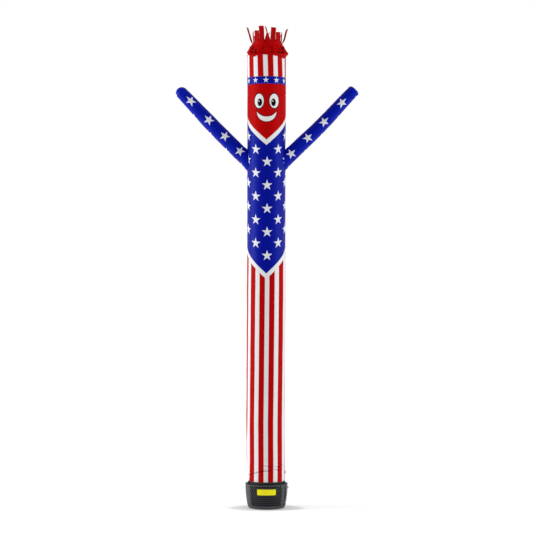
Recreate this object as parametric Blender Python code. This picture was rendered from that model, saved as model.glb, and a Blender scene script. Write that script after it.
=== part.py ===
"""An inflatable air dancer standing on its fan blower.

Metres, +Z up, +X to the dancer's left arm as seen on the right, the face looks along -Y.
The origin is the centre of the blower's flat bottom.

The dancer is a tube sewn from panels: striped legs, a white pointed hem border, a blue torso,
a white pointed collar border, a red head, a blue hat band, a striped hat and a gathered red
crown with an air vent.  Two sleeves and a ring of hair strips are sewn on.  The tube's mouth
fits over the blower's outlet collar and is held there by a strap.

Angles round the tube are counted from the front: 0 faces -Y, +90 degrees is +X.
"""

import math

import bmesh
import bpy
from mathutils import Matrix, Vector

# ---------------------------------------------------------------- driving dimensions

SIDES = 40              # facets round the tube and the blower
SLEEVE_SIDES = 16       # facets round a sleeve
CLOTH = 0.0015          # thickness of the nylon
GAP = 0.0003            # between pieces that touch or are sewn edge to edge
SMOOTH_ANGLE = 35.0     # edges sharper than this many degrees are shaded as creases

# The blower's outlet collar, which the tube's mouth is strapped to
OUTLET_RADIUS = 0.2300
OUTLET_WALL = 0.004
OUTLET_TOP = 0.372
MOUTH_RADIUS = OUTLET_RADIUS + GAP + CLOTH

# The tube's centre and outer radius at each height: (height, centre x, radius)
TUBE = (
    (0.300, 0.000, MOUTH_RADIUS),
    (0.349, 0.000, MOUTH_RADIUS),
    (0.375, -0.002, 0.2360),
    (0.600, -0.010, 0.2425),
    (1.100, -0.014, 0.2425),
    (1.500, -0.011, 0.2430),
    (2.200, -0.007, 0.2440),
    (2.800, -0.004, 0.2440),
    (3.300, -0.003, 0.2415),
    (4.500, -0.002, 0.2412),
    (5.000, 0.002, 0.2440),
    (6.000, 0.001, 0.2440),
)

TUBE_FOOT = 0.3160      # lower edge of the cloth, just above the blower's top plate
HEM_POINT = 2.895       # lowest point of the white hem border, at the front and the back
HEM_RISE = 0.223        # how far that border climbs for each radian round the tube
COLLAR_POINT = 4.574    # lowest point of the white collar border
COLLAR_RISE = 0.2076
BORDER = 0.070          # height of both white borders
BAND_FOOT = 5.343       # blue hat band
BAND_TOP = 5.436
HAT_TOP = 5.724

# The fold pressed into the leg tube just above the blower, a ring that climbs to the right
CREASE_HEIGHT = 0.478
CREASE_CLIMB = 0.054
CREASE_DEPTH = 0.006
CREASE_HALF = 0.030     # from the fold's line to smooth cloth
PUFF_HEIGHT = 0.420     # cloth puffed out under the fold, most of all on the right
PUFF_CLIMB = 0.035
PUFF_ANGLE = 84.0
PUFF_WIDTH = 24.0
PUFF_OUT = 0.008

# Levels of plain cloth in the longer panels
LEG_LEVELS = (0.349, 0.375)
LEG_UPPER_LEVELS = (0.640, 1.100, 1.500, 2.200, 2.780)
TORSO_LEVELS = (3.500, 4.000, 4.450)
HEAD_LEVELS = (5.080,)
HAT_LEVELS = (5.600,)

# Crown of gathered cloth, from its lap over the hat to the vent: (radius, height, fold depth)
CROWN_CENTRE = 0.011
CROWN_NECK = 0.1860
CROWN = (
    (0.2490, 5.735, 0.004),
    (0.2535, 5.754, 0.011),
    (0.2350, 5.784, 0.010),
    (0.2110, 5.818, 0.006),
    (0.1960, 5.838, 0.002),
    (CROWN_NECK, 5.843, 0.000),
    (CROWN_NECK, 5.867, 0.000),
    (0.1500, 5.878, 0.000),
    (0.0720, 5.884, 0.000),
)
CROWN_LAP = 5.711       # lower edge of the crown, outside the hat
# Gathers round the crown: (how many, turned by)
GATHERS = ((8, 0.0), (5, 1.0))
GATHER_SHARE = 0.25     # of the fold depth, each way
# Corners of the gathered cloth: (angle, half width, reach)
LOBES = (
    (90.0, 24.0, 0.011),
    (-84.0, 20.0, 0.001),
    (-28.0, 14.0, 0.004),
    (40.0, 13.0, 0.005),
    (180.0, 20.0, 0.005),
)
# Places where the lap hangs lower: (angle, half width, drop)
LAP_DROPS = (
    (80.0, 17.0, 0.032),
    (-72.0, 20.0, 0.008),
)

# Hair: a backing strip round the crown's neck, and 16 strips cut in one with it
HAIR_COUNT = 16
HAIR_WIDTH = 0.0715
HAIR_THICK = 0.002
HAIR_BACKING = 0.003
HAIR_FOOT = 5.8435
HAIR_ROOT = 5.8660
# One row for each strip, round from the back:
# (tip height, lean outward, lean sideways, turn, curl outward), angles in degrees
HAIR = (
    (6.045, 1.0, -28.0, 80.0, 2.0),     # back, seen through the notch
    (5.995, 2.0, 1.0, -8.0, 6.0),
    (5.985, 3.0, -2.0, 10.0, 8.0),
    (6.006, 0.0, 0.0, -14.0, 4.0),
    (6.077, 16.5, 0.0, 10.0, 0.0),      # far left
    (6.016, 0.0, 0.0, 14.0, 4.0),
    (6.024, -1.0, 0.0, -6.0, 3.0),
    (6.079, -3.0, -9.0, 5.0, 2.0),      # tallest, left of the notch
    (6.066, -1.0, -22.0, 80.0, 2.0),    # front, in the notch
    (6.059, -3.0, 9.0, -5.0, 2.0),      # right of the notch
    (6.003, 1.0, 3.0, 6.0, 3.0),
    (6.004, 1.0, 2.0, -14.0, 4.0),
    (6.056, 18.5, 0.0, -9.0, 0.0),      # far right
    (6.000, 3.0, 0.0, 12.0, 4.0),
    (5.990, 3.0, 2.0, -10.0, 8.0),
    (5.998, 2.0, -1.0, 8.0, 6.0),
)
HAIR_SECTIONS = 6
HAIR_TURNED_AT = 0.62   # share of a strip's length where its turn is complete

# Sleeves, root to tip: (share of the length, sag, radius)
SLEEVE_ROOT_HEIGHT = 4.400
SLEEVE_CLEAR = 0.0012   # from the tube's round wall to the sleeve's faceted end
ARMHOLE_SEAM = 0.014    # cloth left inside the sleeve, round the armhole
ARMHOLE_CUT = (-0.14, 0.20)     # how far the cut runs along the sleeve, each way from its root
ARM_LEFT = {
    "tip": (-1.126, 5.302),
    "rows": (
        (0.00, 0.000, 0.0965),
        (0.08, 0.001, 0.0935),
        (0.25, 0.005, 0.0932),
        (0.45, 0.008, 0.0925),
        (0.65, 0.005, 0.0875),
        (0.82, 0.001, 0.0812),
        (0.93, 0.000, 0.0775),
    ),
    # rounded end: (share of the end's radius, share of its length)
    "end": ((0.93, 0.36), (0.72, 0.70), (0.40, 0.92)),
}
ARM_RIGHT = {
    "tip": (1.126, 5.294),
    "rows": (
        (0.00, 0.000, 0.0960),
        (0.08, -0.002, 0.0925),
        (0.25, 0.004, 0.0915),
        (0.45, 0.011, 0.0875),
        (0.62, 0.009, 0.0850),
        (0.80, 0.001, 0.0800),
        (0.955, -0.004, 0.0760),
    ),
    # blunt end, with the seam drawn flat
    "end": ((0.99, 0.40), (0.86, 0.78), (0.55, 0.97)),
}

# Blower housing, a tapered basket: (outer radius, height)
HOUSING = (
    (0.1980, 0.0000),
    (0.2200, 0.0060),
    (0.2330, 0.0200),
    (0.2400, 0.0380),
    (0.2485, 0.0750),
    (0.2558, 0.1300),
    (0.2632, 0.1850),
    (0.2665, 0.2500),
    (0.2672, 0.3100),
)
HOUSING_WALL = 0.003    # the floor is as thick as the first step is high
PLATE_THICK = 0.004     # top plate
PLATE_TOP = HOUSING[-1][1] + GAP + PLATE_THICK
PLATE_ROUNDING = 0.003  # of the plate's rim
BADGE_HALF_ANGLE = 27.5
BADGE_FOOT = 0.186
BADGE_TOP = 0.262
BADGE_THICK = 0.0015
BADGE_CLEAR = 0.0012    # its bends don't match the wall's
BADGE_STEPS = 6
KNOB_HEIGHT = 0.258
KNOB_RADIUS = 0.0120
KNOB_LONG = 0.0110
INLET_HEIGHT = 0.090
INLET_RADIUS = 0.0140
INLET_LONG = 0.0220
# Knob and inlet, turned: (share of the radius, share of the length)
BOSS = ((1.0, 0.0), (1.0, 0.55), (0.85, 0.85), (0.45, 1.0))
BOSS_SIDES = 12

# Strap round the tube's mouth
STRAP_FOOT = 0.3190
STRAP_TOP = 0.3460
STRAP_THICK = 0.0025
CLIP_ANGLE = 67.5                   # the middle of one of the strap's facets
CLIP_SIZE = (0.012, 0.026, 0.036)   # out from the strap, along it, upright
CLIP_SOFTEN = 0.004


# ---------------------------------------------------------------- helpers

def remove_everything():
    for thing in list(bpy.data.objects):
        bpy.data.objects.remove(thing, do_unlink=True)


def material(name, colour, roughness, metallic=0.0):
    made = bpy.data.materials.new(name)
    made.use_nodes = True
    shader = made.node_tree.nodes["Principled BSDF"]
    shader.inputs["Base Color"].default_value = (*colour, 1.0)
    shader.inputs["Roughness"].default_value = roughness
    shader.inputs["Metallic"].default_value = metallic
    made.diffuse_color = (*colour, 1.0)
    return made


def add_object(name, points, faces, finish):
    """A mesh object with its faces turned outward and its round walls shaded smooth."""
    mesh = bpy.data.meshes.new(name)
    mesh.from_pydata([tuple(p) for p in points], [], faces)
    shape = bmesh.new()
    shape.from_mesh(mesh)
    bmesh.ops.recalc_face_normals(shape, faces=shape.faces)
    if shape.calc_volume(signed=True) < 0:
        bmesh.ops.reverse_faces(shape, faces=shape.faces)
    shape.to_mesh(mesh)
    shape.free()
    mesh.materials.append(finish)
    mesh.shade_smooth()
    mesh.set_sharp_from_angle(angle=math.radians(SMOOTH_ANGLE))
    made = bpy.data.objects.new(name, mesh)
    bpy.context.collection.objects.link(made)
    return made


def between(table, at, column):
    """A column of a table, read at a height between its rows."""
    if at <= table[0][0]:
        return table[0][column]
    for low, high in zip(table, table[1:]):
        if at <= high[0]:
            share = (at - low[0]) / (high[0] - low[0])
            return low[column] + share * (high[column] - low[column])
    return table[-1][column]


def stations(count=SIDES):
    """Angles round the tube, the first at the front."""
    return [2.0 * math.pi * i / count for i in range(count)]


def bump(angle, centre, half_width):
    """A smooth rise round one angle: 1 at its centre, 0.5 about half a width away."""
    off = (math.degrees(angle) - centre + 180.0) % 360.0 - 180.0
    return math.exp(-((off / half_width) ** 2))


def round_the_axis(radius, angle, height, centre_x=0.0):
    return Vector((centre_x + radius * math.sin(angle), -radius * math.cos(angle), height))


def ring_faces(first, second, count, closed=True):
    """Quads between two rings of points, given by the numbers of their first points."""
    last = count if closed else count - 1
    return [
        (first + i, first + (i + 1) % count, second + (i + 1) % count, second + i)
        for i in range(last)
    ]


def turned_band(name, rings, finish):
    """A closed band through rings of points, the last ring joined to the first."""
    count = len(rings[0])
    points = [p for ring in rings for p in ring]
    faces = []
    for number in range(len(rings)):
        after = (number + 1) % len(rings)
        faces += ring_faces(number * count, after * count, count)
    return add_object(name, points, faces, finish)


def shell(name, outer, inner, finish):
    """A wall between rings of outer and inner points, open at both ends."""
    return turned_band(name, outer + inner[::-1], finish)


def solid_of_rings(name, rings, finish):
    """A closed solid through rings of points, with a flat face on each end."""
    count = len(rings[0])
    points = [p for ring in rings for p in ring]
    faces = []
    for number in range(len(rings) - 1):
        faces += ring_faces(number * count, (number + 1) * count, count)
    faces.append(tuple(range(count))[::-1])
    faces.append(tuple(range((len(rings) - 1) * count, len(rings) * count)))
    return add_object(name, points, faces, finish)


# ---------------------------------------------------------------- the tube's panels

def pointed(angle, point, rise):
    """Height of a pointed edge: lowest at the front and the back, highest at the sides."""
    turned = abs((angle + math.pi) % (2.0 * math.pi) - math.pi)
    return point + rise * min(turned, math.pi - turned)


def level(height):
    return lambda angle: height


def hem_edge(lift):
    return lambda angle: pointed(angle, HEM_POINT, HEM_RISE) + lift


def collar_edge(lift):
    return lambda angle: pointed(angle, COLLAR_POINT, COLLAR_RISE) + lift


def slanted(height, climb):
    return lambda angle: height + climb * math.sin(angle)


def pressed_in(angle):
    return -CREASE_DEPTH


def puffed_out(angle):
    return PUFF_OUT * bump(angle, PUFF_ANGLE, PUFF_WIDTH)


def tube_ring(edge, outward, inset):
    """Points round the tube along an edge, moved out by a function and in by the cloth."""
    points = []
    for angle in stations():
        height = edge(angle)
        radius = between(TUBE, height, 2) - inset
        if outward:
            radius += outward(angle)
        points.append(round_the_axis(radius, angle, height, between(TUBE, height, 1)))
    return points


def tube_panel(name, edges, finish):
    """A panel of the tube: a list of (edge, outward function or None), foot to top."""
    outer = [tube_ring(edge, outward, 0.0) for edge, outward in edges]
    inner = [tube_ring(edge, outward, CLOTH) for edge, outward in edges]
    return shell(name, outer, inner, finish)


def make_leg_tube(finish):
    edges = [(level(TUBE_FOOT), None)]
    edges += [(level(height), None) for height in LEG_LEVELS]
    edges += [
        (slanted(PUFF_HEIGHT, PUFF_CLIMB), puffed_out),
        (slanted(CREASE_HEIGHT - CREASE_HALF, CREASE_CLIMB), None),
        (slanted(CREASE_HEIGHT, CREASE_CLIMB), pressed_in),
        (slanted(CREASE_HEIGHT + CREASE_HALF, CREASE_CLIMB), None),
    ]
    edges += [(level(height), None) for height in LEG_UPPER_LEVELS]
    edges.append((hem_edge(-GAP), None))
    return tube_panel("leg_tube", edges, finish)


def make_torso(finish):
    edges = [(hem_edge(BORDER + GAP), None)]
    edges += [(level(height), None) for height in TORSO_LEVELS]
    edges.append((collar_edge(-GAP), None))
    return tube_panel("torso", edges, finish)


def make_head(finish):
    edges = [(collar_edge(BORDER + GAP), None)]
    edges += [(level(height), None) for height in HEAD_LEVELS]
    edges.append((level(BAND_FOOT - GAP), None))
    return tube_panel("head_panel", edges, finish)


# ---------------------------------------------------------------- crown and hair

def crown_ring(radius, height, fold, inset):
    points = []
    for angle in stations():
        gathers = GATHER_SHARE * sum(math.cos(n * angle + phase) for n, phase in GATHERS)
        corners = sum(out * bump(angle, at, wide) for at, wide, out in LOBES)
        share = fold / max(row[2] for row in CROWN)
        reach = radius + fold * gathers + share * corners - inset
        points.append(round_the_axis(reach, angle, height, CROWN_CENTRE))
    return points


def lap_ring(inset):
    """The crown's lower edge, lying on the outside of the hat."""
    points = []
    for angle in stations():
        drop = sum(deep * bump(angle, at, wide) for at, wide, deep in LAP_DROPS)
        height = CROWN_LAP - drop
        radius = between(TUBE, height, 2) + GAP + CLOTH - inset
        points.append(round_the_axis(radius, angle, height, between(TUBE, height, 1)))
    return points


def hat_top_ring(inset):
    """The crown's cloth where it leaves the hat's top edge."""
    height = HAT_TOP + 2.0 * GAP
    radius = between(TUBE, height, 2) + GAP + CLOTH - inset
    centre = between(TUBE, height, 1)
    return [round_the_axis(radius, angle, height, centre) for angle in stations()]


def make_crown(finish):
    outer = [lap_ring(0.0), hat_top_ring(0.0)]
    inner = [lap_ring(CLOTH), hat_top_ring(CLOTH)]
    for number, (radius, height, fold) in enumerate(CROWN):
        outer.append(crown_ring(radius, height, fold, 0.0))
        roof = number >= len(CROWN) - 2
        inner.append(crown_ring(radius, height - (CLOTH if roof else 0.0), fold,
                                0.0 if roof else CLOTH))
    return shell("crown", outer, inner, finish)


def hair_sections(row, angle, radius):
    """Four-cornered sections of one strip, from above its root to its tip."""
    tip, lean_out, lean_side, turn, curl = row
    outward = Vector((math.sin(angle), -math.cos(angle), 0.0))
    sideways = Vector((math.cos(angle), math.sin(angle), 0.0))
    centre = round_the_axis(radius, angle, HAIR_ROOT, CROWN_CENTRE)
    step = (tip - HAIR_ROOT) / HAIR_SECTIONS
    sections = []
    for number in range(1, HAIR_SECTIONS + 1):
        share = number / HAIR_SECTIONS
        out_slope = math.tan(math.radians(lean_out + curl * share * share))
        side_slope = math.tan(math.radians(lean_side * share * share))
        centre = centre + Vector((0.0, 0.0, step)) + outward * out_slope * step
        centre = centre + sideways * side_slope * step
        twist = math.radians(turn) * min(1.0, share / HAIR_TURNED_AT)
        across = sideways * math.cos(twist) + outward * math.sin(twist)
        through = outward * math.cos(twist) - sideways * math.sin(twist)
        half, thick = HAIR_WIDTH / 2.0, HAIR_THICK / 2.0
        sections.append([
            centre - across * half - through * thick,
            centre + across * half - through * thick,
            centre + across * half + through * thick,
            centre - across * half + through * thick,
        ])
    return sections


def strip_faces(below, above):
    """Triangles round a strip.  Its two broad faces are split the same way, so that a twisted
    strip keeps its thickness."""
    faces = []
    for i, split_back in enumerate((False, False, True, True)):
        j = (i + 1) % 4
        if split_back:
            faces += [(below[i], below[j], above[i]), (below[j], above[j], above[i])]
        else:
            faces += [(below[i], below[j], above[j]), (below[i], above[j], above[i])]
    return faces


def make_hair(finish):
    """The backing strip is a ring of long and short facets; a strip rises from each long one."""
    pitch = 2.0 * math.pi / HAIR_COUNT
    half = math.asin(HAIR_WIDTH / 2.0 / (CROWN_NECK + HAIR_BACKING))
    inner_radius = (CROWN_NECK + GAP) / math.cos(half)
    outer_radius = inner_radius + HAIR_BACKING
    points, faces = [], []
    corners = []
    for number in range(HAIR_COUNT):
        middle = -math.pi + number * pitch
        corners += [middle - half, middle + half]
    for radius, height in ((inner_radius, HAIR_FOOT), (outer_radius, HAIR_FOOT),
                           (outer_radius, HAIR_ROOT), (inner_radius, HAIR_ROOT)):
        points += [round_the_axis(radius, angle, height, CROWN_CENTRE) for angle in corners]
    count = len(corners)
    faces += ring_faces(0, count, count)
    faces += ring_faces(count, 2 * count, count)
    faces += ring_faces(3 * count, 0, count)
    for number in range(count):
        after = (number + 1) % count
        top = (2 * count + number, 2 * count + after, 3 * count + after, 3 * count + number)
        if number % 2:
            faces.append(top)
            continue
        row = HAIR[number // 2]
        middle = -math.pi + number // 2 * pitch
        below = [top[3], top[2], top[1], top[0]]
        for section in hair_sections(row, middle, (inner_radius + outer_radius) / 2.0):
            above = [len(points) + i for i in range(4)]
            points += section
            faces += strip_faces(below, above)
            below = above
        faces.append(tuple(below))
    return add_object("hair", points, faces, finish)


# ---------------------------------------------------------------- sleeves

def make_sleeve(name, arm, finish):
    """A tapering closed sleeve.  Its open end is trimmed to the torso's round side."""
    tip = Vector((arm["tip"][0], 0.0, arm["tip"][1]))
    side = math.copysign(1.0, tip.x)
    wall = between(TUBE, SLEEVE_ROOT_HEIGHT, 2) + SLEEVE_CLEAR
    axis_x = between(TUBE, SLEEVE_ROOT_HEIGHT, 1)
    root = Vector((axis_x + side * wall, 0.0, SLEEVE_ROOT_HEIGHT))
    along = (tip - root).normalized()
    up = Vector((-along.z * side, 0.0, along.x * side))
    back = Vector((0.0, 1.0, 0.0))
    long = (tip - root).length

    def ring(share, sag, radius):
        centre = root + along * (long * share) - up * sag
        return [
            centre + up * (radius * math.cos(angle)) + back * (radius * math.sin(angle))
            for angle in stations(SLEEVE_SIDES)
        ]

    def on_the_wall(point):
        target = axis_x + side * math.sqrt(wall * wall - point.y * point.y)
        return point + along * ((target - point.x) / along.x)

    def rings(inset):
        made = [[on_the_wall(p) for p in ring(*arm["rows"][0][:2], arm["rows"][0][2] - inset)]]
        made += [ring(share, sag, radius - inset) for share, sag, radius in arm["rows"][1:]]
        last_share, last_sag, last_radius = arm["rows"][-1]
        end_long = (1.0 - last_share) * long - inset
        for round_share, long_share in arm["end"]:
            share = last_share + end_long * long_share / long
            made.append(ring(share, last_sag * (1.0 - long_share),
                             (last_radius - inset) * round_share))
        return made

    count = SLEEVE_SIDES
    outer, inner = rings(0.0), rings(CLOTH)
    points = [p for made in outer for p in made]
    tip_outer = len(points)
    points.append(tip)
    start = len(points)
    points += [p for made in inner for p in made]
    tip_inner = len(points)
    points.append(tip - along * CLOTH)
    faces = ring_faces(0, start, count)
    for first, end_point in ((0, tip_outer), (start, tip_inner)):
        for number in range(len(outer) - 1):
            here = first + number * count
            faces += ring_faces(here, here + count, count)
        last = first + (len(outer) - 1) * count
        faces += [(last + i, last + (i + 1) % count, end_point) for i in range(count)]
    add_object(name, points, faces, finish)
    return root, along


def cut_armhole(torso, root, along, finish):
    """An oval hole in the torso's wall, a seam's width inside the sleeve's end."""
    radius = ARM_LEFT["rows"][0][2] - ARMHOLE_SEAM
    turn = along.to_track_quat("Z", "Y").to_matrix()
    rings = []
    for reach in ARMHOLE_CUT:
        rings.append([
            root + along * reach + turn @ Vector((radius * math.cos(a), radius * math.sin(a), 0.0))
            for a in stations(SLEEVE_SIDES)
        ])
    cutter = solid_of_rings("armhole_cutter", rings, finish)
    cutter.hide_render = True
    cutter.display_type = "WIRE"
    cut = torso.modifiers.new("armhole", "BOOLEAN")
    cut.operation = "DIFFERENCE"
    cut.solver = "EXACT"
    cut.object = cutter


# ---------------------------------------------------------------- strap and blower

def make_strap(finish):
    outer, inner = [], []
    for height in (STRAP_FOOT, STRAP_TOP):
        outer.append(tube_ring(level(height), lambda angle: GAP + STRAP_THICK, 0.0))
        inner.append(tube_ring(level(height), lambda angle: GAP, 0.0))
    shell("base_strap", outer, inner, finish)


def block(name, size, place, finish, soften):
    """A box with softened edges; size is (x, y, z) in its own axes."""
    shape = bmesh.new()
    bmesh.ops.create_cube(shape, size=1.0)
    bmesh.ops.scale(shape, vec=size, verts=shape.verts)
    bmesh.ops.bevel(shape, geom=list(shape.edges), offset=soften, segments=1, affect="EDGES")
    bmesh.ops.transform(shape, matrix=place, verts=shape.verts)
    mesh = bpy.data.meshes.new(name)
    shape.to_mesh(mesh)
    shape.free()
    mesh.materials.append(finish)
    made = bpy.data.objects.new(name, mesh)
    bpy.context.collection.objects.link(made)
    return made


def make_clips(finish):
    """A clip at each front side, standing on the top plate with its back against the strap."""
    deep, long, tall = CLIP_SIZE
    height = PLATE_TOP + GAP + tall / 2.0
    facet = (MOUTH_RADIUS + GAP + STRAP_THICK) * math.cos(math.pi / SIDES)
    for name, side in (("strap_clip_left", -1.0), ("strap_clip_right", 1.0)):
        angle = math.radians(side * CLIP_ANGLE)
        centre = round_the_axis(facet + GAP + deep / 2.0, angle, height)
        place = Matrix.Translation(centre) @ Matrix.Rotation(angle - math.pi / 2.0, 4, "Z")
        block(name, CLIP_SIZE, place, finish, CLIP_SOFTEN)


def make_housing(finish):
    """The basket: a tapered wall on a flat floor, open at the top."""
    outer = [[round_the_axis(r, a, z) for a in stations()] for r, z in HOUSING]
    inner = [[round_the_axis(r - HOUSING_WALL, a, z) for a in stations()]
             for r, z in HOUSING[1:]]
    return solid_of_rings("blower_housing", outer + inner[::-1], finish)


def make_outlet(finish):
    """The top plate, its rounded rim and the collar that the tube fits over, turned in one."""
    rim, base = HOUSING[-1]
    profile = (
        (rim - PLATE_ROUNDING, base + GAP),
        (rim, base + GAP + PLATE_THICK / 2.0),
        (rim - PLATE_ROUNDING, PLATE_TOP),
        (OUTLET_RADIUS, PLATE_TOP),
        (OUTLET_RADIUS, OUTLET_TOP),
        (OUTLET_RADIUS - OUTLET_WALL, OUTLET_TOP),
        (OUTLET_RADIUS - OUTLET_WALL, base + GAP),
    )
    rings = [[round_the_axis(r, a, z) for a in stations()] for r, z in profile]
    turned_band("outlet_collar", rings, finish)


def housing_radius(height):
    """The basket's outer radius at a height."""
    table = tuple((z, r) for r, z in HOUSING)
    return between(table, height, 1)


def make_badge(finish):
    """A plate bent to the basket's wall, just clear of it."""
    half = math.radians(BADGE_HALF_ANGLE)
    rings = []
    for number in range(BADGE_STEPS + 1):
        angle = -half + 2.0 * half * number / BADGE_STEPS
        corners = []
        for height, out in ((BADGE_FOOT, 0.0), (BADGE_TOP, 0.0),
                            (BADGE_TOP, BADGE_THICK), (BADGE_FOOT, BADGE_THICK)):
            radius = housing_radius(height) + BADGE_CLEAR + out
            corners.append(round_the_axis(radius, angle, height))
        rings.append(corners)
    solid_of_rings("blower_badge", rings, finish)


def boss(name, height, angle, radius, long, finish):
    """A small round boss on the basket's wall, domed at its end."""
    outward = round_the_axis(1.0, angle, 0.0)
    turn = outward.to_track_quat("Z", "Y").to_matrix()
    start = housing_radius(height + radius) + GAP
    rings = []
    for share, reach in BOSS:
        centre = outward * (start + long * reach) + Vector((0.0, 0.0, height))
        rings.append([
            centre + turn @ Vector((radius * share * math.cos(a), radius * share * math.sin(a), 0.0))
            for a in stations(BOSS_SIDES)
        ])
    solid_of_rings(name, rings, finish)


# ---------------------------------------------------------------- the whole

def main():
    remove_everything()
    striped = material("striped_nylon", (0.80, 0.78, 0.78), 0.55)
    white = material("white_nylon", (0.85, 0.85, 0.86), 0.55)
    blue = material("blue_nylon", (0.03, 0.05, 0.42), 0.50)
    red = material("red_nylon", (0.55, 0.02, 0.02), 0.50)
    webbing = material("webbing", (0.02, 0.02, 0.02), 0.80)
    steel = material("blower_steel", (0.05, 0.05, 0.055), 0.45, 0.3)
    plastic = material("black_plastic", (0.02, 0.02, 0.02), 0.40)
    yellow = material("badge_yellow", (0.85, 0.75, 0.03), 0.40)

    make_leg_tube(striped)
    tube_panel("hem_border", [(hem_edge(0.0), None), (hem_edge(BORDER), None)], white)
    torso = make_torso(blue)
    tube_panel("collar_border", [(collar_edge(0.0), None), (collar_edge(BORDER), None)], white)
    make_head(red)
    tube_panel("hat_band", [(level(BAND_FOOT), None), (level(BAND_TOP), None)], blue)
    hat_heights = (BAND_TOP + GAP, *HAT_LEVELS, HAT_TOP)
    tube_panel("hat_panel", [(level(height), None) for height in hat_heights], striped)
    make_crown(red)
    make_hair(red)
    for name, arm in (("arm_left", ARM_LEFT), ("arm_right", ARM_RIGHT)):
        root, along = make_sleeve(name, arm, blue)
        cut_armhole(torso, root, along, plastic)
    make_strap(webbing)
    make_clips(plastic)
    make_housing(steel)
    make_outlet(plastic)
    make_badge(yellow)
    boss("blower_knob", KNOB_HEIGHT, math.radians(90.0), KNOB_RADIUS, KNOB_LONG, plastic)
    boss("cord_inlet", INLET_HEIGHT, math.radians(180.0), INLET_RADIUS, INLET_LONG, plastic)


main()
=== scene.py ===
"""The looks of an inflatable air dancer on its fan blower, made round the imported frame.

Metres, +Z up; the face looks along -Y.  Angles round the tube count from the front, as in the
frame: 0 faces -Y and +90 degrees is +X.  Every piece of cloth carries a UV map called "print":
its own flat place in metres, which the stripes, stars and weave are drawn on.
"""

import math

import bmesh
import bpy
import numpy as np
from mathutils import Matrix, Vector

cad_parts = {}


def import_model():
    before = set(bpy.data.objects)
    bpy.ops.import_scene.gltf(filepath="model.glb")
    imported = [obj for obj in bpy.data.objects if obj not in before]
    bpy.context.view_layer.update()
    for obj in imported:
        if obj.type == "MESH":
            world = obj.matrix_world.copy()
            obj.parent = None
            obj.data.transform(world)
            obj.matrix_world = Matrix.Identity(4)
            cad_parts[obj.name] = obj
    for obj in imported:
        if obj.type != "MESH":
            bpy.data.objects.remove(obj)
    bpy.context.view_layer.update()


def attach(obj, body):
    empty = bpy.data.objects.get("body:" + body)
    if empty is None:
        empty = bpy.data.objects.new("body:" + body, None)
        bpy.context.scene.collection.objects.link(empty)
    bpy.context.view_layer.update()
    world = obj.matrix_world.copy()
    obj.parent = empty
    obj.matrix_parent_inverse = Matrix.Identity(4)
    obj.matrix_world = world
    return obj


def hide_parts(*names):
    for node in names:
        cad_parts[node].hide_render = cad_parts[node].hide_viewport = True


ROOT = "root"

# ---- camera and studio

PHOTO_PIXELS = 533.0
FOCAL_PIXELS = 1817.0  # focal length in the photograph's pixels
SENSOR_MM = 36.0
CAMERA_DISTANCE = 23.0
CAMERA_HEIGHT = 3.052
AMBIENT = 0.60  # the white surroundings' light on the object
# The white floor's own light, kept low round the blower as a painted soft shadow, rises away from
# it, then again far off: distances, rise
GLOW = 0.105
NEAR_GLOW, NEAR_RISE = (0.41, 0.52), 0.215
FAR_GLOW, FAR_RISE = (1.0, 15.0), 0.225
SHADOW_DEEP = 1.55  # the shadow on the floor is this much shorter in depth
SHADOW_FORWARD = 0.07  # and lies this far to the front, once shortened

# ---- the tube

ROUND = 0.2435  # radius that the tube's cloth is laid out flat with
COLUMNS = 144  # round the tube
BODY_STEP, HEAD_STEP, BORDER_STEP = 0.014, 0.012, 0.010  # between rows of plain cloth
CLOTH = 0.0012
GAP = 0.0003

# Centre and outer radius at each height, as in the frame: (height, centre x, radius)
TUBE = np.array((
    (0.300, 0.000, 0.2318),
    (0.349, 0.000, 0.2318),
    (0.375, -0.002, 0.2360),
    (0.600, -0.010, 0.2425),
    (1.100, -0.014, 0.2425),
    (1.500, -0.011, 0.2430),
    (2.200, -0.007, 0.2440),
    (2.800, -0.004, 0.2440),
    (3.300, -0.003, 0.2415),
    (4.500, -0.002, 0.2412),
    (5.000, 0.002, 0.2440),
    (6.000, 0.001, 0.2440),
))
TUBE_FOOT = 0.3196
HEM_POINT, HEM_RISE = 2.895, 0.223  # white border between the legs and the torso
COLLAR_POINT, COLLAR_RISE = 4.574, 0.2076  # white border between the torso and the head
BORDER = 0.070
BAND_FOOT, BAND_TOP = 5.343, 5.436
HAT_TOP = 5.724

# Steps in from a sewn edge to plain cloth, where the seam draws the cloth in
SEAM_STEPS = (0.0, 0.002, 0.004, 0.007, 0.011, 0.017, 0.026, 0.040)
SEAM_PINCH, SEAM_WIDTH = 0.0022, 0.005
PUCKER_DEPTH, PUCKER_REACH = 0.0009375, 0.020
SLOW_DEPTH = 0.0008  # the soft unevenness of blown-up cloth
DENSE_TO, DENSE_STEP = 0.640, 0.005 # rows over the creased foot of the legs
# Painted shade in deep folds: the fold depth that gets the full shade, and how much darker that
# shade makes the cloth at most
PAINTED_SHADE_DEPTH = 0.016
PAINTED_SHADE_STRENGTH = 0.50

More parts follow.
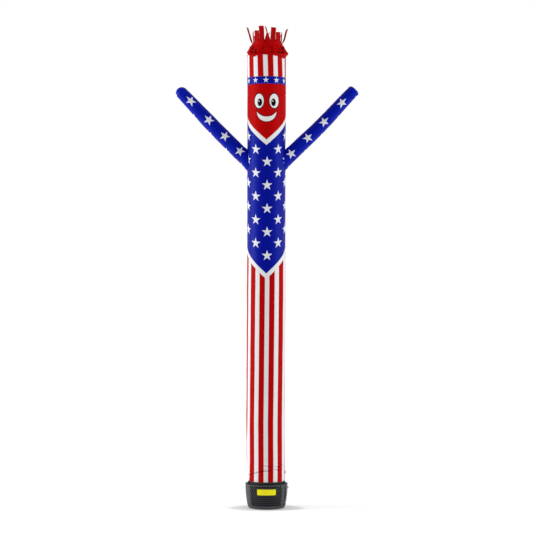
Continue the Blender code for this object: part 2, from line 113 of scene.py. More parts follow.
# Folds: ((angle, height) points), depth, half width, share of the line where it fades in and out
LEG_FOLDS = (
    (((-16, 0.566), (0, 0.548), (14, 0.537), (29, 0.536), (48, 0.536), (68, 0.532)),
     0.0095, 0.0080, 0.16),
    (((56, 0.536), (75, 0.530), (100, 0.520), (140, 0.500), (180, 0.478), (220, 0.452),
      (260, 0.432), (292, 0.428)), 0.0060, 0.0085, 0.10),
    (((284, 0.4265), (300, 0.431), (318, 0.4470), (337, 0.4680), (351, 0.4820), (376, 0.4925),
      (394, 0.514)), 0.0095, 0.0080, 0.14),
    (((60, 0.498), (72, 0.489), (84, 0.486), (104, 0.492), (118, 0.505)), 0.0070, 0.0090, 0.3),
    (((-44, 0.455), (-28, 0.470), (-12, 0.486), (4, 0.498), (16, 0.506)), 0.0060, 0.0190, 0.3),
    (((16, 0.494), (34, 0.497), (52, 0.505)), 0.0040, 0.0150, 0.4),
    (((-10, 0.470), (2, 0.476), (14, 0.478)), 0.0050, 0.0070, 0.5),
    (((22, 0.508), (33, 0.503), (46, 0.508)), 0.0050, 0.0080, 0.5),
    (((-34, 0.505), (-22, 0.520), (-8, 0.516)), 0.0040, 0.0090, 0.5),
    (((2, 0.520), (14, 0.512), (30, 0.520)), 0.0045, 0.0080, 0.5),
    (((-24, 0.352), (-20, 0.395), (-23, 0.430)), 0.0030, 0.0080, 0.5),
    (((22, 0.350), (26, 0.400), (24, 0.470)), 0.0035, 0.0090, 0.5),
    (((4, 0.350), (1, 0.385), (5, 0.420)), 0.0025, 0.0070, 0.5),
    (((52, 0.352), (49, 0.398), (44, 0.455)), 0.0030, 0.0080, 0.5),
    (((-58, 0.352), (-54, 0.385), (-55, 0.410)), 0.0028, 0.0080, 0.5),
    (((110, 0.350), (118, 0.410), (112, 0.470)), 0.0030, 0.0090, 0.5),
    (((160, 0.350), (152, 0.395), (158, 0.440)), 0.0030, 0.0090, 0.5),
    (((215, 0.350), (222, 0.380), (218, 0.420)), 0.0030, 0.0090, 0.5),
    (((-14, 0.640), (10, 0.612), (40, 0.632)), 0.0030, 0.0160, 0.5),
    (((30, 1.350), (52, 1.318), (74, 1.330)), 0.0018, 0.0220, 0.5),
    (((-78, 2.060), (-52, 2.030), (-30, 2.055)), 0.0018, 0.0240, 0.5),
)
PUFF = (80.0, 0.452, 15.0, 0.020)  # angle, height, both half widths
PUFF_REACH, PUFF_SLIDE = 0.0120, 0.034  # and how far its print is slid round the tube
HELD = (-125.0, -100.0, -35.0, -15.0)  # angles where creases leave the print's place as it is
HELD_MOST = 0.45  # the least cosine that is reckoned with there
MOUTH_HELD = (90.0, 125.0)  # the same for the drawn-in mouth, either way
# Low on the left side the white is drawn round wider: angle, half angle, slide, heights
LIMB_SLIDE = (-88.0, 18.0, 0.050, 0.80, 1.15)
TORSO_FOLDS = (
    (((-128, 4.33), (-104, 4.245), (-74, 4.205), (-48, 4.215)), 0.0035, 0.0130, 0.4),
    (((-118, 4.25), (-96, 4.170), (-70, 4.120)), 0.0025, 0.0150, 0.4),
    (((-66, 4.49), (-48, 4.44), (-30, 4.445)), 0.0022, 0.0140, 0.5),
    (((128, 4.33), (104, 4.240), (74, 4.200), (46, 4.205)), 0.0035, 0.0130, 0.4),
    (((118, 4.25), (98, 4.165), (74, 4.105)), 0.0025, 0.0150, 0.4),
    (((66, 4.50), (50, 4.445), (30, 4.440)), 0.0022, 0.0140, 0.5),
    (((-80, 3.66), (-50, 3.63), (-22, 3.65)), 0.0016, 0.0240, 0.5),
    (((18, 3.36), (46, 3.33), (76, 3.345)), 0.0016, 0.0240, 0.5),
    (((168, 3.90), (196, 3.86), (222, 3.88)), 0.0020, 0.0240, 0.5),
)
HEAD_FOLDS = (
    (((-30, 4.735), (-2, 4.722), (26, 4.737)), 0.0020, 0.0100, 0.5),
    (((-26, 4.790), (2, 4.776), (24, 4.790)), 0.0015, 0.0120, 0.5),
    (((64, 5.250), (86, 5.215), (110, 5.230)), 0.0020, 0.0150, 0.5),
    (((-110, 5.240), (-88, 5.215), (-66, 5.235)), 0.0018, 0.0150, 0.5),
)

# ---- prints on the cloth

RED_SHARE = 0.545  # of a stripe's pitch
LEG_STRIPE = (0.1335, -0.0658)  # pitch, and the middle of one red stripe at the floor
PRINT_FROM = 0.600  # below this height the print keeps its place across
LEG_TWIST = 0.0052  # the stripes' turn to the right for each metre up
HAT_STRIPE = (0.1368, 0.0816)
HAT_TWIST = -0.030
# The cloth isn't stretched evenly: (angle, how far its print is slid there, in metres).  The
# first and last differ by what makes the stripes meet at the back
LEG_SLIDES = np.array((
    (-180, 0.004), (-80, 0.004), (-51, 0.000), (-35, -0.0055), (-20, -0.0025), (-5, 0.000),
    (7, 0.0065), (22, 0.0085), (38, 0.008), (59, -0.007), (84, -0.037), (180, -0.0575),
))
HAT_SLIDES = np.array((
    (-180, 0.024), (-84, 0.024), (-60, 0.005), (-43, -0.007), (-27, -0.0055), (-10, -0.007),
    (4, -0.0005), (20, 0.001), (35, 0.0045), (53, -0.004), (84, -0.012), (180, -0.0012),
))
NO_SLIDES = np.zeros((1, 2))
STAR_RADIUS = 0.070
STAR_ROW = 0.294  # from one star to the next below it
STAR_COLUMN = math.radians(36.0) * ROUND
TORSO_STAR = (math.radians(2.4) * ROUND, 4.3645)
STAR_LIFT = 0.062  # how far the rows of stars climb towards the sides
BAND_STAR_RADIUS = 0.040
BAND_STAR_PITCH = 2.0 * math.pi * ROUND / 11.0
BAND_STAR_PHASE = math.radians(-2.2) * ROUND
NO_STAR_NEAR_BORDER = 0.060

# Face, from its middle in metres: a plain smile under two upright eyes
FACE_HEIGHT = 5.010
EYE_PLACE = (0.098, 0.118)
EYE_SIZE = (0.062, 0.090)
EYE_RIM = 0.009
PUPIL_PLACE = (0.088, 0.100)
PUPIL_SIZE = (0.031, 0.048)
GLINT_PLACE = (0.010, 0.016)  # from the pupil's middle, up and to the left
GLINT_SIZE = 0.008
SMILE_OUTER = (-0.012, 0.128)  # height of the circle's middle, radius
SMILE_INNER = (0.078, 0.158)
SMILE_RIM = 0.0075

# ---- sleeves

ARM_ROUND = 0.088
ARM_COLUMNS = 56
SLEEVE_ROOT_HEIGHT = 4.400
SLEEVE_CLEAR = 0.0012
ROOT_REACH = 0.30  # the slanting root lies within this of its middle
END_RING = 0.02  # the ring to close at a sleeve's tip is the one this near the top
ARM_STAR_COLUMN = math.radians(107.0) * ARM_ROUND
ARM_LEFT = {
    "tip": (-1.126, 5.302),
    "rows": np.array((
        (0.00, 0.000, 0.0965), (0.08, 0.001, 0.0935), (0.25, 0.005, 0.0932),
        (0.45, 0.008, 0.0925), (0.65, 0.005, 0.0875), (0.82, 0.001, 0.0812),
        (0.93, 0.000, 0.0775), (0.958, 0.000, 0.0721), (0.979, 0.000, 0.0558),
        (0.994, 0.000, 0.0310), (1.000, 0.000, 0.0030),
    )),
    "turn": 8.0,  # the front column of stars, up from the front
    "stars": (0.1392, 0.4067, 0.6921, 1.0265),  # their places along the sleeve
    # shallow folds: (along, angle from the front, half width along, half angle, depth)
    "folds": ((0.10, -60, 0.030, 50, 0.004), (0.17, 40, 0.035, 60, 0.003),
              (0.30, -20, 0.040, 55, 0.003), (0.55, 30, 0.045, 60, 0.003),
              (0.62, -70, 0.040, 50, 0.003), (0.86, 10, 0.045, 60, 0.003),
              (1.10, -40, 0.030, 50, 0.002), (0.40, 160, 0.045, 60, 0.003),
              (0.78, 190, 0.045, 60, 0.003)),
}
ARM_RIGHT = {
    "tip": (1.126, 5.294),
    "rows": np.array((
        (0.00, 0.000, 0.0960), (0.08, -0.002, 0.0925), (0.25, 0.004, 0.0915),
        (0.45, 0.011, 0.0875), (0.62, 0.009, 0.0850), (0.80, 0.001, 0.0800),
        (0.955, -0.004, 0.0760), (0.973, -0.002, 0.0752), (0.990, -0.001, 0.0654),
        (0.9985, 0.000, 0.0418), (1.000, 0.000, 0.0030),
    )),
    "turn": 0.0,
    "stars": (0.1021, 0.3910, 0.6781, 1.0098),
    "folds": ((0.09, -50, 0.030, 50, 0.004), (0.20, 30, 0.035, 60, 0.003),
              (0.34, -30, 0.040, 55, 0.004), (0.50, 20, 0.045, 60, 0.003),
              (0.70, -40, 0.040, 50, 0.004), (0.92, 20, 0.045, 60, 0.003),
              (1.14, -10, 0.025, 60, 0.003), (0.45, 170, 0.045, 60, 0.003),
              (0.82, 150, 0.045, 60, 0.003)),
}

# ---- crown and hair

CROWN_CENTRE = 0.011
CROWN_NECK = 0.1860
CROWN_COLUMNS = 360
HAIR_FOOT, HAIR_ROOT = 5.8435, 5.8660
HAIR_COUNT = 16
HAIR_WIDTH = 0.0715
HAIR_THICK = 0.0014
# The crown's profile above the hat: (radius, height, share of the fold depth)
CROWN = np.array((
    (0.2490, 5.7270, 0.20),
    (0.2390, 5.7385, 0.60),
    (0.2490, 5.7475, 1.00),
    (0.2535, 5.7550, 1.00),
    (0.2470, 5.7690, 1.00),
    (0.2350, 5.7840, 1.00),
    (0.2230, 5.8010, 0.95),
    (0.2110, 5.8180, 0.75),
    (0.1960, 5.8380, 0.25),
    (CROWN_NECK, 5.8435, 0.00),
    (CROWN_NECK, 5.8670, 0.00),
    (0.1800, 5.8720, 0.00),
    (0.1500, 5.8780, 0.05),
    (0.1100, 5.8815, 0.10),
    (0.0760, 5.8838, 0.12),
))
CROWN_LAP = 5.7075
# The tuck's line is also painted darker: the last number is that painted shade
CREASE, CREASE_SHADE = (5.7385, 0.0045), 0.55  # the tuck above the hat: height, half width
# How strongly the crown's folds are painted with shade
CROWN_PAINTED_SHADE = 1.2
LOBES = ((90.0, 24.0, -0.008), (-84.0, 20.0, 0.001), (-28.0, 14.0, 0.004), (40.0, 13.0, 0.005),
         (180.0, 20.0, 0.005))
LOW_LOBE = (84.0, 22.0, 5.740, 0.0194, 0.0150, 0.024)  # angles, height, both half heights, reach
LAP_DROPS = ((60.0, 15.0, 0.036), (30.0, 10.0, 0.015), (-40.0, 12.0, 0.017),
             (-78.0, 14.0, -0.014))
# Shadow deep in the gathers: (angle, height, half angle, half height, strength)
GATHER_SHADES = ((-66.0, 5.825, 11.0, 0.016, 0.9), (-38.0, 5.738, 11.0, 0.026, 0.9),
                 (41.0, 5.742, 9.0, 0.022, 0.9), (66.0, 5.805, 10.0, 0.022, 0.8))
# Gathers: (angle, half angle, depth); a minus sign presses in
GATHERS = (
    (-97, 5, -0.008), (-86, 6, 0.008), (-75, 3, -0.014), (-66, 5, 0.007), (-55, 4, -0.020),
    (-45, 4, 0.006), (-36, 3, -0.012), (-26, 6, 0.004), (-14, 3, -0.008), (-3, 6, 0.003),
    (7, 3, 0.005), (13, 3, -0.007), (25, 6, 0.005), (35, 3, -0.012), (44, 5, 0.007),
    (54, 4, -0.026), (64, 4, 0.008), (73, 3, -0.015), (83, 5, 0.008), (95, 5, -0.008),
    (110, 7, 0.007), (124, 4, -0.016), (140, 7, 0.006), (154, 3, -0.012), (170, 7, 0.005),
    (186, 4, -0.014), (202, 7, 0.006), (216, 3, -0.010), (232, 6, 0.006), (246, 4, -0.014),
    (256, 5, 0.006),
)
# Creases that run aslant over the crown, as on the legs: angles and heights, depth, width, fade
CROWN_FOLDS = (
    (((-78, 5.812), (-62, 5.798), (-42, 5.780)), 0.0130, 0.0075, 0.3),
    (((-64, 5.768), (-48, 5.752), (-28, 5.740)), 0.0120, 0.0065, 0.3),
    (((-98, 5.762), (-84, 5.748), (-72, 5.752)), 0.0070, 0.0060, 0.4),
    (((50, 5.824), (58, 5.802), (68, 5.780)), 0.0180, 0.0080, 0.3),
    (((34, 5.758), (46, 5.748), (62, 5.734)), 0.0160, 0.0070, 0.3),
    (((66, 5.762), (80, 5.756), (96, 5.744)), 0.0070, 0.0060, 0.4),
    (((-22, 5.742), (0, 5.737), (26, 5.742)), 0.0050, 0.0060, 0.3),
    (((-16, 5.772), (2, 5.762), (20, 5.774)), 0.0045, 0.0070, 0.5),
    (((112, 5.800), (128, 5.772), (146, 5.756)), 0.0110, 0.0075, 0.3),
    (((160, 5.760), (178, 5.780), (196, 5.800)), 0.0110, 0.0075, 0.3),
    (((204, 5.750), (222, 5.766), (240, 5.790)), 0.0110, 0.0075, 0.3),
)
# (tip height, lean outward, lean sideways, turn, curl outward), from the back, as in the frame
HAIR = (
    (6.045, 1.0, -28.0, 80.0, 2.0),
    (5.995, 2.0, 1.0, -8.0, 6.0),
    (5.985, 3.0, -2.0, 10.0, 8.0),
    (6.006, 0.0, 0.0, -14.0, 4.0),
    (6.077, 15.8, 0.0, 19.0, 0.0),
    (6.016, 0.0, 0.0, 14.0, 4.0),
    (6.024, -1.0, 0.0, -6.0, 3.0),
    (6.079, -3.0, -9.0, 5.0, 2.0),
    (6.066, -1.0, -22.0, 80.0, 2.0),
    (6.059, -3.0, 9.0, -5.0, 2.0),
    (6.003, 1.0, 3.0, 6.0, 3.0),
    (6.004, 1.0, 2.0, -14.0, 4.0),
    (6.056, 17.8, 0.0, -19.0, 0.0),
    (6.000, 3.0, 0.0, 12.0, 4.0),
    (5.990, 3.0, 2.0, -10.0, 8.0),
    (5.998, 2.0, -1.0, 8.0, 6.0),
)
HAIR_ROWS = 18
HAIR_ACROSS = 6
HAIR_TURNED_AT = 0.62
CROWN_SHOULDER = 5.838
SKIRT_FOOT = 5.782  # the gathered cloth under the strips reaches down to here
SKIRT_LIFT, SKIRT_LOBE = 0.030, 54.0  # and this much less between its lobes; degrees a lobe
SKIRT_ROWS = 8
SKIRT_OUT = 0.0030
SKIRT_BELOW = 0.01  # the crown's table is read from this far below the skirt
HAIR_JOIN = 0.04  # place of the cloth between two strips, from a strip's middle
ROOT_SPREAD = 0.10  # the strips are wider by this share at their roots
HAIR_SLIGHT, HAIR_SLIGHT_AT = 40.0, 0.18  # strips turned by less are turned nearer their roots
# Where the backing stands off the neck: (angle, half angle, share), height, half heights, reach
FLARES = ((-88.0, 22.0, 1.0), (88.0, 22.0, 0.6))
FLARE_HEIGHT, FLARE_BELOW, FLARE_ABOVE, FLARE = 5.838, 0.022, 0.028, 0.017
# Painted shade: evenly all over the strips, and the share of the crown's painted fold shade on their
# backing
STRIP_SHADE, BACKING_SHADE = 0.28, 0.6

# ---- blower

# Basket: (outer radius, height)
HOUSING = np.array((
    (0.1980, 0.0000), (0.2200, 0.0060), (0.2330, 0.0200), (0.2400, 0.0380), (0.2485, 0.0750),
    (0.2558, 0.1300), (0.2632, 0.1850), (0.2665, 0.2500), (0.2672, 0.3100),
))
SHEET = 0.0016
HOLES_ROUND = 48
HOLE_ROWS = 10
HOLE_RADIUS = 0.0135
FIXING_REACH = 0.026  # no holes this near the knob and the gland
HOLES_FOOT, HOLES_TOP = 0.044, 0.298
PLAIN_FLANKS = ((-86.0, -52.0), (46.0, 58.0))  # angles where the sheet has no holes
PLATE_TOP = 0.3143
OUTLET_RADIUS, OUTLET_TOP = 0.2300, 0.372
STRAP_FOOT, STRAP_TOP, STRAP_THICK = 0.3190, 0.3460, 0.0025
CLIP_ANGLE = 67.5
BADGE_HALF_ANGLE, BADGE_FOOT, BADGE_TOP = 25.8, 0.1870, 0.2595
KNOB_HEIGHT, KNOB_RADIUS, KNOB_LONG = 0.258, 0.0120, 0.0110
INLET_HEIGHT, INLET_RADIUS, INLET_LONG = 0.090, 0.0140, 0.0220


# ---- shapes: helpers

TURN = 2.0 * math.pi
# A fold's soft lips, in its own half widths: height, place above the trough, half width
FOLD_LIPS = ((0.42, 2.0, 1.3), (0.22, -2.3, 1.4))
# Sines along a seam: size, radians a metre, start.  PUCKER_DEPTH is for a size of 1
PUCKER_WAVES = ((1.0, TURN / 0.0306, 0.0), (0.7, TURN / 0.0219, 1.3), (0.6, TURN / 0.0510, 2.1))
# The soft unevenness: size, waves round, climb and start, waves up and start
SLOW_WAVES = ((1.0, 3.0, 5.1, 0.0, 6.3, 0.8), (0.8, 5.0, -3.7, 2.0, 9.7, 2.6),
              (0.5, 9.0, 8.9, 0.0, 15.1, 0.3))
SEAM_SHARE = 0.3  # of a narrow panel's height, at most, for the close rows beside each edge


def smooth_step(x):
    x = np.clip(x, 0.0, 1.0)
    return x * x * (3.0 - 2.0 * x)


def bell(x):
    """1 at 0, and soon nothing on both sides."""
    return np.exp(-(x ** 2))


def bump(angle, centre, half_width):
    """A smooth rise round one angle in degrees."""
    return bell(((np.degrees(angle) - centre + 180.0) % 360.0 - 180.0) / half_width)


def peaks(angle, rows):
    """The sum of rises: (angle, half angle, reach) in each row."""
    return sum(reach * bump(angle, at, wide) for at, wide, reach in rows)


def spot(angle, height, at, middle, wide, below, above=None):
    """A smooth rise round an angle and a height, with its half heights below and above."""
    tall = np.where(height < middle, below, above or below)
    return bump(angle, at, wide) * bell((height - middle) / tall)


def waves(x, rows):
    """The sum of sines: (size, radians for each 1 of x, start) in each row."""
    return sum(size * np.sin(rate * x + start) for size, rate, start in rows)


def pointed(angle, point, rise):
    """Height of a pointed edge: lowest at the front and the back, highest at the sides."""
    turned = np.abs((angle + math.pi) % TURN - math.pi)
    return point + rise * np.minimum(turned, math.pi - turned)


def level(height):
    return lambda angle: np.full_like(angle, height)


def hem_edge(lift):
    return lambda angle: pointed(angle, HEM_POINT, HEM_RISE) + lift


def collar_edge(lift):
    return lambda angle: pointed(angle, COLLAR_POINT, COLLAR_RISE) + lift


def tube_centre(height):
    return np.interp(height, TUBE[:, 0], TUBE[:, 1])


def tube_radius(height):
    return np.interp(height, TUBE[:, 0], TUBE[:, 2])


def around(radius, angle, height, centre=0.0):
    """Points at a radius round an upright axis."""
    spots = (centre + radius * np.sin(angle), -radius * np.cos(angle), height)
    return np.stack(np.broadcast_arrays(*spots), axis=-1)


def on_the_tube(angle, height, out):
    """Points round the tube, moved outward."""
    return around(tube_radius(height) + out, angle, height, tube_centre(height))


def lengths(points):
    """How far along a line of points, or up a grid of them, each row lies."""
    steps = np.linalg.norm(np.diff(points, axis=0), axis=-1)
    return np.concatenate(([0.0], np.cumsum(steps.reshape(len(steps), -1).mean(axis=1))))


def smooth_table(table, count):
    """A table read close together, with a smooth (Catmull-Rom) curve through its rows."""
    at = np.linspace(0.0, len(table) - 1.0, count)
    padded = np.vstack((2.0 * table[0] - table[1], table, 2.0 * table[-1] - table[-2]))
    low = np.minimum(np.floor(at).astype(int), len(table) - 2)
    t = (at - low)[:, None]
    a, b, c, d = (padded[low + i] for i in range(4))
    return 0.5 * (2.0 * b + (c - a) * t + (2.0 * a - 5.0 * b + 4.0 * c - d) * t ** 2
                  + (3.0 * b - a - 3.0 * c + d) * t ** 3)


def line_field(u, v, line, depth, width, fade):
    """How far one fold moves the cloth out: a trough along a line, and a soft lip on each side,
    the upper one fuller."""
    points = np.array(line, float)
    starts = lengths(points)
    nearest = np.full(u.shape, np.inf)
    along = np.zeros(u.shape)
    for (u0, v0), (u1, v1), start, end in zip(points, points[1:], starts, starts[1:]):
        share = ((u - u0) * (u1 - u0) + (v - v0) * (v1 - v0)) / (end - start) ** 2
        share = np.clip(share, 0.0, 1.0)
        off = np.hypot(u - u0 - share * (u1 - u0), v - v0 - share * (v1 - v0))
        above = np.sign((v - v0) * (u1 - u0) - (u - u0) * (v1 - v0))
        closer = off < np.abs(nearest)
        nearest = np.where(closer, off * np.where(above == 0.0, 1.0, above), nearest)
        along = np.where(closer, (start + share * (end - start)) / starts[-1], along)
    taper = smooth_step(along / fade) * smooth_step((1.0 - along) / fade)
    lips = sum(high * bell((nearest / width - at) / wide) for high, at, wide in FOLD_LIPS)
    return depth * taper * (lips - bell(nearest / width))


def fold_field(angle, height, folds):
    """All the folds of a panel; a fold may run on past the back."""
    out = np.zeros(angle.shape)
    for line, *sizes in folds:
        flat = [(math.radians(a) * ROUND, z) for a, z in line]
        for turn in (-TURN, 0.0, TURN):
            out += line_field((angle + turn) * ROUND, height, flat, *sizes)
    return out


def painted_shade_from_depth(out):
    """How much painted shade a fold gives: 0 on level cloth and up to 1 where folds press it in."""
    return np.clip(-out / PAINTED_SHADE_DEPTH, 0.0, 1.0)


def pucker_field(u, near):
    """Small puckers that a seam draws in the cloth, fading away from it."""
    return PUCKER_DEPTH * waves(u, PUCKER_WAVES) * np.exp(-np.abs(near) / PUCKER_REACH)


def along_seam(angle, near, rise):
    """Distance along a pointed seam for cloth at a height above it: puckers stand square to it."""
    turned = (angle + math.pi) % TURN - math.pi
    climbs = np.sign(np.sin(2.0 * turned))
    slant = math.atan(rise / ROUND)
    return angle * ROUND / math.cos(slant) + climbs * near * math.sin(slant)


def slow_field(angle, height):
    """A soft unevenness over the whole tube, the same on both sides of each seam."""
    return SLOW_DEPTH * sum(
        size * np.sin(turns_round * angle + climb * height + start) * np.sin(up * height + up_start)
        for size, turns_round, climb, start, up, up_start in SLOW_WAVES)


def rows_between(first, last, step):
    """Even rows from just above one edge to the other."""
    count = max(1, int(math.ceil((last - first).max() / step)))
    return [first + (last - first) * (i + 1) / count for i in range(count)]


def panel_heights(low, high, step, dense):
    """Rows of heights between two edges, close together beside both and where dense."""
    edge = np.array(SEAM_STEPS)
    edge = edge[edge < SEAM_SHARE * (high - low).min()]
    rows = [low + e for e in edge]
    if dense:
        rows += rows_between(rows[-1], np.full_like(low, DENSE_TO), DENSE_STEP)
    rows += rows_between(rows[-1], high - edge[-1], step)
    rows += [high - e for e in edge[-2::-1]]
    return np.array(rows)


def turns(count):
    """Angles from the back seam round to it again, both ends included."""
    return np.linspace(-math.pi, math.pi, count + 1)


# ---- shapes: meshes

WELD = 1e-6  # points this near are one


def grid_mesh(name, points, flat, closed=True, painted_shade=None):
    """A mesh over rows of points.  flat is each point's place in the print; on a closed grid the
    last column is the first one again, at the other end of the print.  The last argument is how much
    shade the material paints on each point, up to 1, as at the bottom of a deep fold."""
    rows, columns = points.shape[:2]
    used = columns - 1 if closed else columns
    corner = np.arange(rows * used).reshape(rows, used)
    after = np.roll(corner, -1, axis=1) if closed else corner
    if not closed:
        corner, after = corner[:, :-1], after[:, 1:]
    quads = np.stack((corner[:-1], after[:-1], after[1:], corner[1:]), axis=-1).reshape(-1, 4)
    place = np.stack((flat[:-1, :-1], flat[:-1, 1:], flat[1:, 1:], flat[1:, :-1]), axis=2)
    mesh = bpy.data.meshes.new(name)
    mesh.from_pydata(points[:, :used].reshape(-1, 3).tolist(), [], quads.tolist())
    layer = mesh.uv_layers.new(name="print")
    layer.uv.foreach_set("vector", place.reshape(-1).astype(np.float32))
    if painted_shade is not None:
        values = mesh.attributes.new("painted_shade", "FLOAT", "POINT")
        values.data.foreach_set("value", painted_shade[:, :used].reshape(-1).astype(np.float32))
    mesh.shade_smooth()
    return mesh


def bands(shape, rings):
    """Faces between closed rings of points, each joined to the next."""
    for low, high in zip(rings, rings[1:]):
        for i in range(len(low)):
            shape.faces.new((low[i - 1], low[i], high[i], high[i - 1]))


def mesh_of(shape, name, sharp=None):
    """The smooth mesh of a finished bmesh.  Edges above an angle in degrees stay sharp."""
    mesh = bpy.data.meshes.new(name)
    shape.to_mesh(mesh)
    shape.free()
    mesh.shade_smooth()
    if sharp:
        mesh.set_sharp_from_angle(angle=math.radians(sharp))
    return mesh


def welded(mesh):
    """The mesh with its doubled points merged and its faces turned outward."""
    shape = bmesh.new()
    shape.from_mesh(mesh)
    bmesh.ops.remove_doubles(shape, verts=shape.verts, dist=WELD)
    bmesh.ops.recalc_face_normals(shape, faces=shape.faces)
    shape.to_mesh(mesh)
    shape.free()
    return mesh


def new_object(mesh, finish, thick=0.0, offset=-1.0):
    """An object of the mesh's name, its sheet made solid where it has a thickness."""
    made = bpy.data.objects.new(mesh.name, mesh)
    bpy.context.scene.collection.objects.link(made)
    mesh.materials.append(finish)
    if thick:
        wall = made.modifiers.new("thickness", "SOLIDIFY")
        wall.thickness = thick
        wall.offset = offset
        wall.use_even_offset = True
    return made


def dress(piece, slot, *nodes):
    """A finished piece rides on the one body and stands for its nodes of the frame."""
    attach(piece, ROOT)
    if nodes:
        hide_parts(*nodes)
    return piece


def turned_piece(name, profile, sides, finish, slot, *nodes, closed=False):
    """A piece turned round the upright axis from (radius, height) points."""
    angles = turns(sides)
    profile = np.array(profile + profile[:1] if closed else profile)
    points = around(profile[:, :1], angles, profile[:, 1:])
    flat = np.stack(np.broadcast_arrays(angles * ROUND, lengths(profile)[:, None]), axis=-1)
    return dress(new_object(welded(grid_mesh(name, points, flat)), finish), slot, *nodes)


# ---- materials: helpers

def colour(red, green, blue):
    """A colour from its 0 to 255 screen values."""
    def linear(value):
        value /= 255.0
        return value / 12.92 if value <= 0.04045 else ((value + 0.055) / 1.055) ** 2.4
    return (linear(red), linear(green), linear(blue), 1.0)


RED = colour(190, 0, 2)
BLUE = colour(0, 2, 148)
# The sleeves' blue: the torso's cloth, painted lighter for the light the sleeves catch
LIT_SLEEVE_BLUE = colour(0, 14, 165)
WHITE = colour(242, 243, 244)
BLACK = colour(12, 12, 14)
YELLOW = colour(255, 246, 0)


class Graph:
    """Short calls for the nodes of one material."""

    def __init__(self, name):
        self.material = bpy.data.materials.new(name)
        self.material.use_nodes = True
        self.tree = self.material.node_tree
        self.shader = self.tree.nodes["Principled BSDF"]
        self.place = self.add("ShaderNodeTexCoord").outputs["Object"]

    def add(self, kind, **settings):
        node = self.tree.nodes.new(kind)
        for key, value in settings.items():
            setattr(node, key, value)
        return node

    def feed(self, node, **values):
        """Links or sets a node's inputs by name, with _ for a space; _0 is an input's number."""
        for name, value in values.items():
            key = int(name[1:]) if name[1:].isdigit() else name.replace("_", " ")
            socket = node.inputs[key]
            if isinstance(value, bpy.types.NodeSocket):
                self.tree.links.new(value, socket)
            else:
                socket.default_value = value[:3] if socket.type == "VECTOR" else value
        return node

    def math(self, operation, *values, clamp=False):
        node = self.add("ShaderNodeMath", operation=operation, use_clamp=clamp)
        self.feed(node, **{f"_{i}": value for i, value in enumerate(values)})
        return node.outputs[0]

    def plus(self, a, b):
        return self.math("ADD", a, b)

    def minus(self, a, b):
        return self.math("SUBTRACT", a, b)

    def times(self, a, b):
        return self.math("MULTIPLY", a, b)

    def length(self, x, y):
        return self.math("SQRT", self.plus(self.times(x, x), self.times(y, y)))

    def wave(self, x, pitch):
        return self.math("SINE", self.times(x, TURN / pitch))

    def vector(self, operation, output=0, **values):
        node = self.add("ShaderNodeVectorMath", operation=operation)
        return self.feed(node, **values).outputs[output]

    def mix(self, share, low, high):
        node = self.add("ShaderNodeMix", data_type="RGBA")
        return self.feed(node, Factor=share, _6=low, _7=high).outputs[2]

    def tint(self, share, shade, least, most):
        """A shade made darker or lighter, from least to most by share."""
        node = self.feed(self.add("ShaderNodeMapRange", clamp=True), Value=share, To_Min=least,
                         To_Max=most)
        return self.vector("SCALE", _0=shade, Scale=node.outputs[0])

    def within(self, distance, soft=0.0012):
        """1 where a signed distance is below nothing, 0 outside, with a thin soft edge."""
        return self.math("ADD", self.math("DIVIDE", distance, -soft), 0.5, clamp=True)

    def print_place(self):
        node = self.add("ShaderNodeUVMap", uv_map="print")
        split = self.feed(self.add("ShaderNodeSeparateXYZ"), _0=node.outputs[0])
        return split.outputs[0], split.outputs[1]

    def noise(self, scale, detail=3.0, rough=0.5, stretch=None):
        place = self.place
        if stretch:
            mapping = self.feed(self.add("ShaderNodeMapping"), Vector=place, Scale=stretch)
            place = mapping.outputs[0]
        node = self.add("ShaderNodeTexNoise")
        return self.feed(node, Vector=place, Scale=scale, Detail=detail, Roughness=rough).outputs[0]

    def mottled(self, shade, least, most, **noise):
        return self.tint(self.noise(**noise), shade, least, most)

    def uneven(self, least, rise, **noise):
        """A roughness that rises from its least value with a noise."""
        return self.math("MULTIPLY_ADD", self.noise(**noise), rise, least)

    def bump(self, height, strength, depth, **normal):
        node = self.feed(self.add("ShaderNodeBump"), Strength=strength, Distance=depth)
        return self.feed(node, Height=height, **normal).outputs[0]

    def grain(self, strength, depth, **noise):
        return self.bump(self.noise(**noise), strength, depth)

    def finish(self, shade, rough, **more):
        self.feed(self.shader, Base_Color=shade, Roughness=rough, **more)
        return self.material


# ---- materials: prints

def star_mask(graph, x, y, radius):
    """1 inside a five-pointed star round the origin, with a point along +y."""
    fifth = math.pi / 5.0
    slope = fifth / 2.0
    length = graph.length(x, y)
    turned = graph.math("PINGPONG", graph.math("ARCTAN2", x, y), fifth)
    across = graph.times(length, graph.math("SINE", turned))
    along = graph.times(length, graph.math("COSINE", turned))
    edge = graph.plus(graph.times(across, math.cos(slope)), graph.times(along, math.sin(slope)))
    return graph.within(graph.minus(edge, math.sin(slope) * radius))


def star_grid(graph, u, v, column, row, radius, staggered=True):
    """Stars in columns, every other column moved down by half a row."""
    number = graph.math("ROUND", graph.math("DIVIDE", u, column))
    x = graph.minus(u, graph.times(number, column))
    if staggered:
        v = graph.plus(v, graph.times(graph.math("PINGPONG", number, 1.0), row / 2.0))
    step = graph.math("ROUND", graph.math("DIVIDE", v, row))
    y = graph.minus(v, graph.times(step, row))
    return star_mask(graph, x, y, radius), x, y


def striped(pitch, middle, twist):
    def pattern(graph, u, v):
        straight = graph.math("MULTIPLY_ADD", v, -twist, graph.minus(u, middle))
        off = graph.math("PINGPONG", straight, pitch / 2.0)
        return graph.mix(graph.within(graph.minus(off, pitch * RED_SHARE / 2.0)), WHITE, RED)
    return pattern


